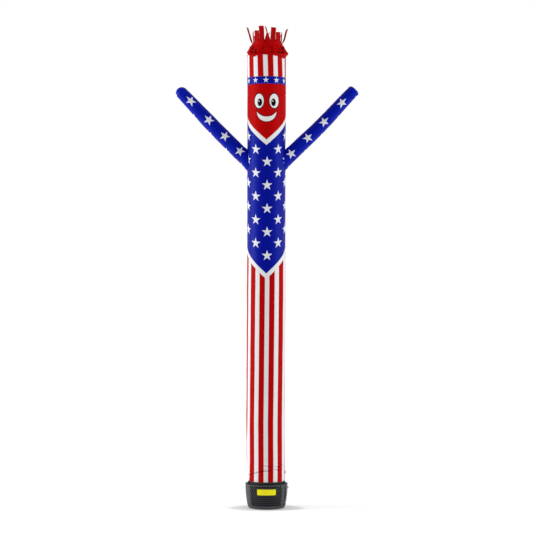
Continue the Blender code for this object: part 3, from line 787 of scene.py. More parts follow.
def torso_print(graph, u, v):
    """Rows of stars, but none that the hem would cut."""
    mask, x, y = star_grid(graph, u, v, STAR_COLUMN, STAR_ROW, STAR_RADIUS)
    middle_u = graph.plus(graph.minus(u, x), TORSO_STAR[0])
    middle_v = graph.plus(graph.minus(v, y), TORSO_STAR[1])
    turned = graph.math("PINGPONG", graph.math("DIVIDE", middle_u, ROUND), math.pi / 2.0)
    hem = graph.plus(graph.times(turned, HEM_RISE), HEM_POINT + BORDER + NO_STAR_NEAR_BORDER)
    whole = graph.math("GREATER_THAN", middle_v, hem)
    return graph.mix(graph.times(mask, whole), BLUE, WHITE)


def band_print(graph, u, v):
    mask, _, _ = star_grid(graph, u, v, BAND_STAR_PITCH, 1.0, BAND_STAR_RADIUS, False)
    return graph.mix(mask, BLUE, WHITE)


def arm_print(graph, u, v):
    mask, _, _ = star_grid(graph, u, v, ARM_STAR_COLUMN, STAR_ROW, STAR_RADIUS)
    return graph.mix(mask, LIT_SLEEVE_BLUE, WHITE)


def oval(graph, u, v, place, size):
    """Signed distance, roughly, from an oval's rim."""
    x = graph.math("DIVIDE", graph.minus(u, place[0]), size[0])
    y = graph.math("DIVIDE", graph.minus(v, place[1]), size[1])
    return graph.times(graph.minus(graph.length(x, y), 1.0), min(size))


def circle(graph, u, v, place, radius):
    return oval(graph, u, v, place, (radius, radius))


def face_print(graph, u, v):
    """Two upright eyes and a smile, in white and black on red."""
    side = graph.math("ABSOLUTE", u)
    eye = oval(graph, side, v, EYE_PLACE, EYE_SIZE)
    outer = circle(graph, u, v, (0.0, SMILE_OUTER[0]), SMILE_OUTER[1])
    inner = circle(graph, u, v, (0.0, SMILE_INNER[0]), SMILE_INNER[1])
    smile = graph.math("MAXIMUM", outer, graph.times(inner, -1.0))
    pupil = oval(graph, side, v, PUPIL_PLACE, PUPIL_SIZE)
    shade = RED
    for shape, rim in ((eye, EYE_RIM), (smile, SMILE_RIM)):
        shade = graph.mix(graph.within(graph.minus(shape, rim)), shade, BLACK)
        shade = graph.mix(graph.within(shape), shade, WHITE)
    shade = graph.mix(graph.within(pupil), shade, BLACK)
    for sign in (-1.0, 1.0):
        place = (sign * PUPIL_PLACE[0] - GLINT_PLACE[0], PUPIL_PLACE[1] + GLINT_PLACE[1])
        shade = graph.mix(graph.within(circle(graph, u, v, place, GLINT_SIZE)), shade, WHITE)
    return shade


# ---- materials

WEAVE_PITCH = 0.0016
WEBBING_PITCH = (0.0024, 0.0030)  # of the strap's weave, round it and up
# How strongly the dyed cloth shines, and the colour that it shines in
PLAIN_SHINE = (0.03, (1.0, 1.0, 1.0, 1.0))
BLUE_SHINE = (0.30, (0.11, 0.27, 1.0, 1.0))


def nylon(name, pattern, shine=PLAIN_SHINE):
    """Thin woven nylon: a print, a fine weave, soft crinkles and a little sheen."""
    graph = Graph(name)
    u, v = graph.print_place()
    shade = pattern(graph, u, v) if callable(pattern) else pattern
    # Painted shade: the cloth is drawn darker where the mesh marks a deep fold or gather
    painted_shade = graph.add("ShaderNodeAttribute", attribute_name="painted_shade").outputs["Fac"]
    shade = graph.tint(painted_shade, shade, 1.0, 1.0 - PAINTED_SHADE_STRENGTH)
    shade = graph.mottled(shade, least=0.90, most=1.06, scale=26.0, detail=4.0, rough=0.6)
    crinkled = graph.grain(strength=0.35, depth=0.004, scale=38.0, rough=0.55,
                           stretch=(1.0, 1.0, 0.8))
    weave = graph.times(graph.wave(u, WEAVE_PITCH), graph.wave(v, WEAVE_PITCH))
    woven = graph.bump(weave, strength=0.08, depth=0.0004, Normal=crinkled)
    rough = graph.uneven(least=0.42, rise=0.16, scale=60.0, detail=2.0)
    return graph.finish(shade, rough, Normal=woven, Specular_IOR_Level=shine[0],
                        Specular_Tint=shine[1])


def webbing():
    """Black strap in a close weave."""
    graph = Graph("webbing")
    round_wave, up_wave = map(graph.wave, graph.print_place(), WEBBING_PITCH)
    woven = graph.bump(graph.times(round_wave, up_wave), strength=0.5, depth=0.0006)
    shade = graph.mottled(colour(16, 16, 18), least=0.7, most=1.3, scale=60.0)
    return graph.finish(shade, rough=0.78, Normal=woven, Sheen_Weight=0.15)


def coated_steel():
    """Black powder-coated sheet, a little uneven in its shade and its shine."""
    graph = Graph("coated_steel")
    patches = {"scale": 22.0, "detail": 5.0, "rough": 0.65}
    shade = graph.mottled(colour(55, 57, 62), least=0.75, most=1.25, **patches)
    rough = graph.uneven(least=0.42, rise=0.18, **patches)
    grain = graph.grain(strength=0.10, depth=0.0003, scale=900.0, detail=2.0)
    return graph.finish(shade, rough, Normal=grain, Specular_IOR_Level=0.50)


def moulded_plastic():
    graph = Graph("black_plastic")
    shade = graph.mottled(colour(14, 14, 16), least=0.75, most=1.3, scale=45.0, detail=4.0)
    rough = graph.uneven(least=0.38, rise=0.20, scale=80.0)
    grain = graph.grain(strength=0.12, depth=0.0002, scale=1300.0, detail=1.0)
    return graph.finish(shade, rough, Normal=grain, Specular_IOR_Level=0.3)


def drum_paint():
    graph = Graph("drum_paint")
    shade = graph.mottled(colour(6, 6, 7), least=0.6, most=1.4, scale=30.0)
    grain = graph.grain(strength=0.2, depth=0.0004, scale=400.0)
    return graph.finish(shade, rough=0.80, Normal=grain, Specular_IOR_Level=0.05)


def yellow_enamel():
    graph = Graph("yellow_enamel")
    shade = graph.mottled(YELLOW, least=0.97, most=1.03, scale=40.0, detail=4.0)
    rough = graph.uneven(least=0.30, rise=0.18, scale=120.0)
    grain = graph.grain(strength=0.06, depth=0.0002, scale=700.0)
    return graph.finish(shade, rough, Normal=grain, Specular_IOR_Level=0.25)


def white_thread():
    graph = Graph("white_thread")
    shade = graph.mottled(colour(215, 215, 215), least=0.85, most=1.1, scale=300.0, detail=1.0)
    twist = graph.grain(strength=0.3, depth=0.0003, scale=1500.0, detail=1.0)
    return graph.finish(shade, rough=0.6, Normal=twist, Sheen_Weight=0.2)


# ---- the tube

def puff_swell(angle, height):
    """1 in the middle of the cloth that puffs out over the strap, 0 elsewhere."""
    return spot(angle, height, *PUFF)


def held_share(angle):
    """1 where the print keeps its place across a crease, 0 elsewhere."""
    start, full, still, end = np.radians(HELD)
    return smooth_step((angle - start) / (full - start)) * smooth_step((end - angle) / (end - still))


def legs_slide(angle, height, creases):
    """How the legs' print is slid.  The mouth is drawn in under the strap, and creases press in,
    but the print stays put across the tube.  The white low on the left is drawn round wider,
    and the print of the puff is slid round."""
    below = np.minimum(height, PRINT_FROM)
    moved = tube_centre(below) - tube_centre(PRINT_FROM)
    drawn = tube_radius(below) - tube_radius(PRINT_FROM)
    slope = 1.0 / np.maximum(np.cos(angle), HELD_MOST)
    least, most = np.radians(MOUTH_HELD)
    mouth = smooth_step((most - np.abs(angle)) / (most - least))
    kept = mouth * (moved + drawn * np.sin(angle)) + held_share(angle) * creases * np.sin(angle)
    at, wide, reach, full, end = LIMB_SLIDE
    limb = reach * bump(angle, at, wide) * smooth_step((end - height) / (end - full))
    return kept * slope + limb + PUFF_SLIDE * puff_swell(angle, height)


def tube_panel(name, node, edges, step, finish, slot, folds=(), flat_shift=(0.0, 0.0), lift=0.0,
               sewn=(0.0, 0.0), slides=NO_SLIDES, legs=False):
    """A panel between two edges of the tube, with its seams, puckers and folds.  sewn holds the
    rise of each edge's seam, or None for an edge that isn't sewn.  lift is how far the print
    climbs to its sides.  legs is set for the lowest panel, creased and drawn in at its foot."""
    angles = turns(COLUMNS)
    low, high = (edge(angles) for edge in edges)
    heights = panel_heights(low, high, step, legs)
    angle = np.broadcast_to(angles, heights.shape)
    creases = fold_field(angle, heights, folds)
    out = creases + slow_field(angle, heights)
    for away, rise in zip((heights - low, heights - high), sewn):
        if rise is not None:
            out -= SEAM_PINCH * bell(away / SEAM_WIDTH)
            out += pucker_field(along_seam(angle, away, rise), away)
    across = angle * ROUND - flat_shift[0]
    across = across + np.interp(np.degrees(angle), slides[:, 0], slides[:, 1])
    if legs:
        out += PUFF_REACH * puff_swell(angle, heights)
        across += legs_slide(angle, heights, creases)
    flat = np.stack((across, heights - lift * (1.0 - np.cos(angle)) - flat_shift[1]), axis=-1)
    # painted shade in the creases, darker as they press in
    mesh = grid_mesh(name, on_the_tube(angle, heights, out), flat, painted_shade=painted_shade_from_depth(creases))
    return dress(new_object(mesh, finish, CLOTH), slot, node)


def declare_tube_sheet(edges, rise):
    """Reckons the panel's cut: round the tube, and from its lowest point to its highest.  A pointed
    border is a strip that runs aslant, by its rise.  The sizes are not kept."""
    low, high = (edge(turns(COLUMNS)[:-1]) for edge in edges)
    wide, tall = TURN * ROUND, float(high.max() - low.min())
    if rise:
        slant = math.atan(rise / ROUND)
        wide, tall = wide / math.cos(slant), BORDER * math.cos(slant)


def border_edges():
    """The edges of the hem, the collar and the band, and how steeply they rise."""
    return {
        "hem_border_cloth": (hem_edge(0.0), hem_edge(BORDER), HEM_RISE),
        "collar_border_cloth": (collar_edge(0.0), collar_edge(BORDER), COLLAR_RISE),
        "hat_band_cloth": (level(BAND_FOOT), level(BAND_TOP), 0.0),
    }


def make_tube(finishes):
    """The panels from the mouth to the hat's top: a piece and its edges by each name."""
    panels = {}
    borders = border_edges()

    def panel(name, node, edges, step, finish, slot, **more):
        piece = tube_panel(name, node, edges, step, finishes[finish], slot, **more)
        panels[name] = (piece, edges)

    def border(name, node, finish, slot, **more):
        panel(name, node, borders[name][:2], BORDER_STEP, finish, slot, **more)

    panel("legs_cloth", "leg_tube", (level(TUBE_FOOT), hem_edge(-GAP)), BODY_STEP, "leg_stripes",
          "striped_nylon", folds=LEG_FOLDS, sewn=(None, HEM_RISE), slides=LEG_SLIDES, legs=True)
    border("hem_border_cloth", "hem_border", "white_nylon", "white_nylon",
           sewn=(HEM_RISE, HEM_RISE))
    panel("torso_cloth", "torso", (hem_edge(BORDER + GAP), collar_edge(-GAP)), BODY_STEP,
          "torso_stars", "blue_nylon", folds=TORSO_FOLDS, flat_shift=TORSO_STAR, lift=STAR_LIFT,
          sewn=(HEM_RISE, COLLAR_RISE))
    border("collar_border_cloth", "collar_border", "white_nylon", "white_nylon",
           sewn=(COLLAR_RISE, COLLAR_RISE))
    panel("head_cloth", "head_panel", (collar_edge(BORDER + GAP), level(BAND_FOOT - GAP)),
          HEAD_STEP, "face", "red_nylon", folds=HEAD_FOLDS, flat_shift=(0.0, FACE_HEIGHT),
          sewn=(COLLAR_RISE, 0.0))
    border("hat_band_cloth", "hat_band", "band_stars", "blue_nylon",
           flat_shift=(BAND_STAR_PHASE, (BAND_FOOT + BAND_TOP) / 2.0))
    panel("hat_cloth", "hat_panel", (level(BAND_TOP + GAP), level(HAT_TOP)), HEAD_STEP,
          "hat_stripes", "striped_nylon", sewn=(0.0, None), slides=HAT_SLIDES)
    return panels


# ---- crown and hair

CROWN_READ = 5 * len(CROWN) - 4  # rows read from the crown's table
CROWN_SLANT = 0.10  # how far the gathers slant as they climb, at most, in radians
UPRIGHT_SHARE = 0.3  # of the gathers, which doesn't slant
# Sines round the crown, as for waves: the lap's edge, how loose it is, the foot and the fullness
# of the strips' backing, and its upper edge
LAP_WAVES = ((0.0025, 7.0, 0.6), (0.0015, 17.0, 0.0))
LOOSE_WAVES = ((0.0020, 9.0, 1.0),)
FOOT_WAVES = ((0.0020, 23.0, 1.9),)
SKIRT_WAVES = ((0.0022, 29.0, 0.0), (0.00132, 43.0, 1.0))
BACKING_WAVES = ((0.0006, 29.0, 0.0), (0.0008, 16.0, 0.0))
SKIRT_FULL = 0.0022  # how far the backing's foot stands off, besides its waves
BACKING_HEIGHTS = (HAIR_FOOT + 0.002, (HAIR_FOOT + HAIR_ROOT) / 2.0, HAIR_ROOT)
LAP_SHARES = (0.0, 0.10, 0.25, 0.45, 0.7, 0.9)  # of the way from its edge to the hat's top
LAP_LOOSE, LAP_CLEAR = 0.0035, 0.001  # how far the lap stands off the hat, loosely and at least
LAP_GATHER, LAP_GATHER_LIMITS = 0.25, (-0.002, 0.01)  # share of the gathers that the lap has
# Painted shade on the lap, as a share of the gathers' painted shade
LAP_SHADE = 0.3  # of the gathers' shade, at the hat's top
HAIR_SEED, HAIR_DRAWS = 11, 6  # random numbers for each strip; the last is spare
HAIR_CUP, HAIR_FLAT_BY = 1.1 / 0.30, 0.5  # how much a strip is cupped; where the neck's round ends
HAIR_RIPPLE, HAIR_RIPPLES = 0.10, 1.1  # steepness of a strip's ripple, and how many it has
HAIR_EDGE = (0.0006, 40.0, 9.0, 6.0)  # waves across a strip: size, across, along, random start
HAIR_END_CUT, HAIR_CUT_LATE = 0.003, 8  # slant of a strip's end, and the power it sets in by
HAIR_WIDE_BY = 0.45  # share of a strip where its wider root ends
NECK = CROWN_NECK + GAP + HAIR_THICK / 2.0 + 0.0012  # the middle of the strips' backing


def crown_reach(angle):
    """How far the gathered crown stands out from its plain profile, at full depth."""
    return peaks(angle, LOBES + GATHERS)


def low_lobe(angle, height):
    """The fullest gather hangs lower than the rest."""
    at, wide, middle, below, above, reach = LOW_LOBE
    return reach * spot(angle, height, at, middle, wide, below, above)


def shaded(angle, height, painted_shade):
    """A row's painted shade, with the painted shadow deep in the gathers."""
    for *place, strength in GATHER_SHADES:
        painted_shade = painted_shade + strength * spot(angle, height, *place)
    return np.clip(painted_shade, 0.0, 1.0)


def crown_out(angle, height, share):
    """How far folds move the crown at a height; the gathers slant a little as they climb."""
    climb = np.clip((height - CROWN[0, 1]) / (CROWN_SHOULDER - CROWN[0, 1]), 0.0, 1.0)
    upright = UPRIGHT_SHARE * crown_reach(angle)
    slanted = (1.0 - UPRIGHT_SHARE) * crown_reach(angle + CROWN_SLANT * np.sin(3.0 * angle) * climb)
    creases = fold_field(angle, height, CROWN_FOLDS)
    return share * (upright + slanted + creases) + low_lobe(angle, height)


def lap_rows(angles):
    """Rows of (points, painted shade) of the crown's foot, which laps over the hat."""
    lap = CROWN_LAP - (peaks(angles, LAP_DROPS) + waves(angles, LAP_WAVES))
    gathered = crown_reach(angles)
    rows = []
    for share in LAP_SHARES:
        height = lap + (HAT_TOP + GAP - lap) * share
        out = GAP + CLOTH + LAP_CLEAR + slow_field(angles, height) + low_lobe(angles, height)
        out = out + (1.0 - share) ** 2 * (LAP_LOOSE + waves(angles, LOOSE_WAVES))
        out = out + LAP_GATHER * share * np.clip(gathered, *LAP_GATHER_LIMITS)
        painted_shade = shaded(angles, height, LAP_SHADE * share * painted_shade_from_depth(gathered))
        rows.append((on_the_tube(angles, height, out), painted_shade))
    return rows


def body_rows(angles):
    """Rows of (points, painted shade) of the crown's body, from the hat's top to the vent."""
    rows = []
    for radius, height, share in smooth_table(CROWN, CROWN_READ):
        out = crown_out(angles, np.full_like(angles, height), share)
        # painted shade along the tuck's line
        tuck = CREASE_SHADE * bell((height - CREASE[0]) / CREASE[1])
        painted_shade = shaded(angles, height, CROWN_PAINTED_SHADE * painted_shade_from_depth(out) + tuck)
        rows.append((around(radius + out, angles, height, CROWN_CENTRE), painted_shade))
    return rows


def make_crown(finish):
    angles = turns(CROWN_COLUMNS)
    points, painted_shade = map(np.array, zip(*lap_rows(angles), *body_rows(angles)))
    flat = np.stack(np.broadcast_arrays(angles * ROUND, lengths(points)[:, None]), axis=-1)
    mesh = grid_mesh("crown_cloth", points, flat, painted_shade=painted_shade)
    return dress(new_object(mesh, finish, CLOTH), "red_nylon", "crown")


def neck_flare(angles, height):
    """How far the backing stands off the neck, fullest at both sides."""
    return FLARE * sum(share * spot(angles, height, at, FLARE_HEIGHT, wide, FLARE_BELOW, FLARE_ABOVE)
                       for at, wide, share in FLARES)


def backing_rows(angles):
    """Rows of (points, painted shade) of the strips' backing, from its loose foot on the crown's
    shoulder up the neck."""
    crown = smooth_table(CROWN, CROWN_READ)
    crown = crown[np.argmax(crown[:, 1] >= SKIRT_FOOT - SKIRT_BELOW):]
    lobes = 0.5 + 0.5 * np.cos(TURN * np.degrees(angles) / SKIRT_LOBE)
    foot = SKIRT_FOOT + SKIRT_LIFT * lobes + waves(angles, FOOT_WAVES)
    rows = []
    for up in np.arange(SKIRT_ROWS) / SKIRT_ROWS:
        height = foot + (HAIR_FOOT - foot) * up
        radius, share = (np.interp(height, crown[:, 1], crown[:, i]) for i in (0, 2))
        folded = crown_out(angles, height, share)
        full = SKIRT_OUT + (1.0 - up) * (SKIRT_FULL + waves(angles, SKIRT_WAVES))
        reach = np.maximum(radius + folded + full, NECK) + neck_flare(angles, height)
        # painted shade in the backing's folds, a share of the crown's
        painted_shade = shaded(angles, height, BACKING_SHADE * CROWN_PAINTED_SHADE * painted_shade_from_depth(folded))
        rows.append((around(reach, angles, height, CROWN_CENTRE), painted_shade))
    for height in BACKING_HEIGHTS:
        reach = NECK + waves(angles, BACKING_WAVES) + neck_flare(angles, height)
        rows.append((around(reach, angles, height, CROWN_CENTRE), shaded(angles, height, 0.0)))
    return rows


def strip_rows(middle, span, row, wave):
    """Rows of points up one strip, from the top of the backing.  wave is its random numbers."""
    tip, lean_out, lean_side, turn, curl = row
    outward = np.array((math.sin(middle), -math.cos(middle), 0.0))
    sideways = np.array((math.cos(middle), math.sin(middle), 0.0))
    half = HAIR_WIDTH / 2.0
    turned_at = HAIR_TURNED_AT if abs(turn) > HAIR_SLIGHT else HAIR_SLIGHT_AT
    size, waves_across, waves_along, start = HAIR_EDGE
    centre = np.array((CROWN_CENTRE, 0.0, HAIR_ROOT))
    centre = centre + (NECK + neck_flare(middle, HAIR_ROOT)) * outward
    step = (tip - HAIR_ROOT) / HAIR_ROWS
    rows = []
    for share in np.arange(1, HAIR_ROWS + 1) / HAIR_ROWS:
        ripple = HAIR_RIPPLE * wave[1] * math.sin(TURN * (HAIR_RIPPLES * share + wave[2]))
        out_slope = math.tan(math.radians(lean_out + curl * share ** 2)) + ripple
        side_slope = math.tan(math.radians(lean_side * share ** 2))
        centre = centre + step * (outward * out_slope + sideways * side_slope + (0.0, 0.0, 1.0))
        twist = math.radians(turn) * min(1.0, share / turned_at)
        across = sideways * math.cos(twist) + outward * math.sin(twist)
        through = outward * math.cos(twist) - sideways * math.sin(twist)
        # round like the neck at the root, then cupped a little to one side or the other
        bow = (1.0 - smooth_step(share / HAIR_FLAT_BY)) / NECK / 2.0
        bow = bow - HAIR_CUP * wave[0] * smooth_step(share)
        edge = size * np.sin(waves_across * span / half + waves_along * share + start * wave[3])
        wide = span * (1.0 + ROOT_SPREAD * (1.0 - smooth_step(share / HAIR_WIDE_BY)))
        line = centre + wide[:, None] * across + (edge - bow * span ** 2)[:, None] * through
        line[:, 2] += HAIR_END_CUT * wave[4] * (span / half) * share ** HAIR_CUT_LATE
        rows.append(line)
    return np.array(rows)


def make_hair(finish):
    """A backing ring with the strips cut in one with it: a comb of points, then thickened."""
    rng = np.random.default_rng(HAIR_SEED)
    span = np.linspace(-HAIR_WIDTH / 2.0, HAIR_WIDTH / 2.0, HAIR_ACROSS + 1)
    shape = bmesh.new()
    layer = shape.loops.layers.uv.new("print")
    shades = shape.verts.layers.float.new("painted_shade")

    def quad(corners, across):
        face = shape.faces.new(corners)
        for loop, place in zip(face.loops, across):
            loop[layer].uv = (place, loop.vert.co.z)

    strips = []
    for number, row in enumerate(HAIR):
        middle = -math.pi + number * TURN / HAIR_COUNT
        backing, painted_shade = zip(*backing_rows(middle + span / NECK))
        above = strip_rows(middle, span, row, rng.uniform(-1.0, 1.0, HAIR_DRAWS))
        # the strips are painted evenly darker, as shade
        painted_shade = (*painted_shade, *[np.full_like(span, STRIP_SHADE)] * HAIR_ROWS)
        verts = [[shape.verts.new(point) for point in line] for line in (*backing, *above)]
        for line, values in zip(verts, painted_shade):
            for vert, value in zip(line, values):
                vert[shades] = value
        strips.append((middle * NECK, verts))

    for number, (place, verts) in enumerate(strips):
        for low, high in zip(verts, verts[1:]):
            for c in range(HAIR_ACROSS):
                left, right = place + span[c], place + span[c + 1]
                quad((low[c], low[c + 1], high[c + 1], high[c]), (left, right, right, left))
        following = strips[(number + 1) % len(strips)][1]
        for r in range(len(verts) - HAIR_ROWS - 1):
            corners = (verts[r][-1], following[r][0], following[r + 1][0], verts[r + 1][-1])
            quad(corners, [place + HAIR_JOIN] * 4)
    mesh = mesh_of(shape, "hair_strips")
    return dress(new_object(mesh, finish, HAIR_THICK, 0.0), "red_nylon", "hair")


# ---- sleeves

ARM_READ = 400  # rows read from a sleeve's table
ARM_TIP_FROM = 6  # the row of the table where the sleeve is gathered in to its tip
ARM_ROWS, ARM_TIP_ROWS = 74, 22  # rows of the plain sleeve and of its tip
ARM_FOLD_SLANT = 0.0225  # how far along the sleeve a fold slants
ARM_FOLD_LIP = (0.5, 1.5)  # height, and place beside the trough in its half widths
# The root's seam against the tube's: its pinch, its puckers, their reach and their start
ARM_PINCH, ARM_PUCKER, ARM_PUCKER_REACH, ARM_PUCKER_START = 0.8, 1.5, 2.0, 0.4
TIP_WAVES = ((0.0022, 13.0, 0.7),)  # the gathers round the tip
ARM_CALM = 0.04  # where a sleeve is narrower than this, its folds are shallower
ROOT_EASE = 0.16  # the slant of the root eases away over this length


def arm_frame(arm):
    """The sleeve's side, root, direction, upward side and length."""
    side = math.copysign(1.0, arm["tip"][0])
    root = np.array((float(tube_centre(SLEEVE_ROOT_HEIGHT)) + side * arm_wall(), 0.0,
                     SLEEVE_ROOT_HEIGHT))
    reach = np.array((arm["tip"][0], 0.0, arm["tip"][1])) - root
    long = float(np.linalg.norm(reach))
    along = reach / long
    return side, root, along, np.array((-along[2] * side, 0.0, along[0] * side)), long


def arm_wall():
    """Radius of the torso's wall that the sleeves' roots lie against."""
    return float(tube_radius(SLEEVE_ROOT_HEIGHT)) + SLEEVE_CLEAR


def arm_folds(arm, place, angle):
    """How far the shallow folds move a sleeve out."""
    high, beside = ARM_FOLD_LIP
    out = np.zeros(place.shape)
    for at, turn, half_long, half_angle, deep in arm["folds"]:
        slant = ARM_FOLD_SLANT * np.sin(angle - math.radians(turn))
        across = (place - at - slant) / half_long
        out += deep * bump(angle, turn, half_angle) * (high * bell(across - beside) - bell(across))
    return out


def star_lengths(arm, long):
    """Where along the print the root's far side, each star and the tip lie."""
    stars = arm["stars"]
    places = [STAR_ROW * i for i in range(len(stars))]
    first = places[0] - (stars[0] + ROOT_REACH) * STAR_ROW / (stars[1] - stars[0])
    last = places[-1] + (long - stars[-1]) * STAR_ROW / (stars[-1] - stars[-2])
    return (first, *places, last)


def make_arm(name, node, arm, finish):
    """A sleeve, its length and its mean radius."""
    side, root, along, up, long = arm_frame(arm)
    seam_end, tip_from = SEAM_STEPS[-1] / long, arm["rows"][ARM_TIP_FROM][0]
    shares = np.concatenate((np.array(SEAM_STEPS) / long,
                             np.linspace(seam_end, tip_from, ARM_ROWS)[1:],
                             np.linspace(tip_from, 1.0, ARM_TIP_ROWS)[1:]))
    table = smooth_table(arm["rows"], ARM_READ)
    sag, radius = (np.interp(shares, table[:, 0], table[:, i])[:, None] for i in (1, 2))
    # the angles are 0 at the front and +90 degrees on the sleeve's upper side
    place, angle = np.meshgrid(shares * long, turns(ARM_COLUMNS), indexing="ij")
    out = arm_folds(arm, place, angle)
    # painted shade in the sleeve's folds
    painted_shade = painted_shade_from_depth(out)
    out -= ARM_PINCH * SEAM_PINCH * bell(place / SEAM_WIDTH)
    out += ARM_PUCKER * pucker_field(angle * ARM_ROUND + ARM_PUCKER_START,
                                     place / ARM_PUCKER_REACH)
    gather = np.clip((shares - tip_from) / (1.0 - tip_from), 0.0, 1.0)[:, None]
    out += np.sin(math.pi * gather) ** 2 * waves(angle, TIP_WAVES)
    reach = radius + out * np.minimum(1.0, radius / ARM_CALM)
    points = root + place[..., None] * along + (reach * np.sin(angle) - sag)[..., None] * up
    points[..., 1] -= reach * np.cos(angle)
    # the root lies against the torso's round side, and the next rows ease back to square ones
    wall = tube_centre(SLEEVE_ROOT_HEIGHT) + side * np.sqrt(arm_wall() ** 2 - points[0, :, 1] ** 2)
    start = (wall - points[0, :, 0]) / along[0] * (1.0 - smooth_step(place / ROOT_EASE))
    points = points + start[..., None] * along
    printed = np.interp(place + start, (-ROOT_REACH, *arm["stars"], long), star_lengths(arm, long))
    flat = np.stack(((angle - math.radians(arm["turn"])) * ARM_ROUND, printed), axis=-1)
    mesh = grid_mesh(name, points, flat, painted_shade=painted_shade)
    close_end(mesh)
    piece = dress(new_object(mesh, finish, CLOTH), "blue_nylon", node)
    return piece, long, float(radius.mean())


def close_end(mesh):
    """Fills the small ring left at the end of a grid and turns the faces outward."""
    shape = bmesh.new()
    shape.from_mesh(mesh)
    edges = [e for e in shape.edges if e.is_boundary]
    far = max(max(v.co.z for v in e.verts) for e in edges)
    ring = [e for e in edges if min(v.co.z for v in e.verts) > far - END_RING]
    bmesh.ops.holes_fill(shape, edges=ring, sides=0)
    bmesh.ops.triangulate(shape, faces=[f for f in shape.faces if len(f.verts) > 4])
    bmesh.ops.recalc_face_normals(shape, faces=shape.faces)
    shape.to_mesh(mesh)
    shape.free()
    mesh.shade_smooth()


# ---- stitching

STITCH_LONG, STITCH_PITCH, STITCH_RADIUS = 0.0032, 0.0048, 0.00045
STITCH_IN = 0.0035  # from the seam
STITCH_OUT = 0.0002  # off the cloth
STITCH_COLUMNS = 360  # round the tube
# A thread's rings: share of its length, and how far it stands off in its own radii
STITCH_RINGS = ((0.0, -0.6), (0.25, 1.0), (0.75, 1.0), (1.0, -0.6))
STITCH_SIDES = 4


def point_at(where, along, values):
    """A row read between the rows of values, which lie so far along."""
    return np.array([np.interp(where, along, column) for column in values.T])


def stitch_faces(first):
    """The faces of one thread, from its first point's number."""
    side = range(STITCH_SIDES)
    last = first + STITCH_SIDES * (len(STITCH_RINGS) - 1)
    faces = [(low + i, low + (i + 1) % STITCH_SIDES, low + STITCH_SIDES + (i + 1) % STITCH_SIDES,
              low + STITCH_SIDES + i) for low in range(first, last, STITCH_SIDES) for i in side]
    return faces + [tuple(first + i for i in reversed(side)), tuple(last + i for i in side)]


def stitches(name, paths, finish):
    """Short threads lying along paths of (points, outward directions)."""
    verts, faces = [], []
    corners = [TURN * (i + 0.5) / STITCH_SIDES for i in range(STITCH_SIDES)]
    for points, normals in paths:
        at = lengths(points)
        for start in np.arange(STITCH_PITCH, at[-1] - STITCH_LONG, STITCH_PITCH):
            near, far = (point_at(s, at, points) for s in (start, start + STITCH_LONG))
            normal = point_at(start, at, normals)
            normal /= np.linalg.norm(normal)
            along = (far - near) / np.linalg.norm(far - near)
            across = np.cross(along, normal)
            faces += stitch_faces(len(verts))
            for share, rise in STITCH_RINGS:
                centre = near * (1.0 - share) + far * share + normal * STITCH_RADIUS * rise
                verts += [centre + (across * math.cos(a) + normal * math.sin(a)) * STITCH_RADIUS
                          for a in corners]
    mesh = bpy.data.meshes.new(name)
    mesh.from_pydata([tuple(vert) for vert in verts], [], faces)
    mesh = welded(mesh)
    mesh.shade_smooth()
    return dress(new_object(mesh, finish), "white_nylon")


def round_path(edge, offset, rise):
    """A line of stitches round the tube beside an edge."""
    angles = turns(STITCH_COLUMNS)
    heights = edge(angles) + offset
    out = STITCH_OUT + pucker_field(along_seam(angles, offset, rise), offset)
    out += slow_field(angles, heights) - SEAM_PINCH * bell(offset / SEAM_WIDTH)
    return on_the_tube(angles, heights, out), around(1.0, angles, 0.0)


def stitch_border(name, low, high, rise, finish):
    """Stitches along both edges of a narrow panel."""
    paths = (round_path(low, STITCH_IN, rise), round_path(high, -STITCH_IN, rise))
    return stitches(name, paths, finish)


# ---- blower

BASKET_SHARP, BOSS_SHARP, BAR_SHARP, BADGE_SHARP = 40.0, 40.0, 50.0, 60.0  # edges, in degrees
BASKET_READ = 81  # rows read from the housing's table
BOTTOM_RINGS = (0.08, 0.16)  # radii of the flat bottom's rings of points
FOOT_HEIGHTS = (0.0, 0.0012, 0.0035, 0.006, 0.010, 0.015, 0.020, 0.028, 0.036)
BASKET_RIM = ((0.3042, 0.0), (0.3060, 0.0006), (0.3082, 0.0006), (0.3098, 0.0))  # height, reach
HOLE_SIDES, HOLE_START = 12, 210.0  # a hole's first corner, in degrees
HOLE_CORNERS = 6  # of the cell round it
HOLE_UNEVEN, HOLE_SEED = 0.02, 5  # a hole's radius differs by up to this share
HONEYCOMB = 0.2  # share of a row that a cell's corners lie up or down
FIXINGS = ((math.pi / 2.0, KNOB_HEIGHT), (math.pi, INLET_HEIGHT))
# The drum's outline: (radius, height) from the middle of its foot
DRUM = [(0.0, 0.012), (0.190, 0.012), (0.214, 0.022), (0.229, 0.045), (0.2425, 0.110),
        (0.2510, 0.180), (0.2550, 0.300), (0.2550, 0.3085), (0.226, 0.3085)]
DRUM_SIDES, RIM_SIDES = 96, 144
RIM_ROUND, RIM_STEPS = 0.0020, 9  # the top plate's rolled edge
OUTLET_WALL = 0.004
PLATE_STEPS = ((0.0030, 0.0), (0.010, 0.0012), (0.016, 0.0012), (0.020, 0.0))  # in, down
OUTLET_FILLET = ((0.003, 0.0), (0.0008, 0.0012), (0.0, 0.004))  # out, up
OUTLET_LIP = ((0.0, 0.001), (0.001, 0.0), (0.003, 0.0), (OUTLET_WALL, 0.001))  # in, down
STRAP_RIBS, RIB_DEEP = 6, 0.0005
STRAP_SOFT, STRAP_CORNER = 0.0006, 0.0008  # height and depth of the webbing's soft edge
# A buckle's middle, off the webbing and above the plate, and the radius of its soft edges
BUCKLE_OFF, BUCKLE_LIFT, BUCKLE_SOFT = 0.0062, 0.0180, 0.0014
SOFT_SHARE = 0.45  # of a bar's least side, at most, for a softened edge
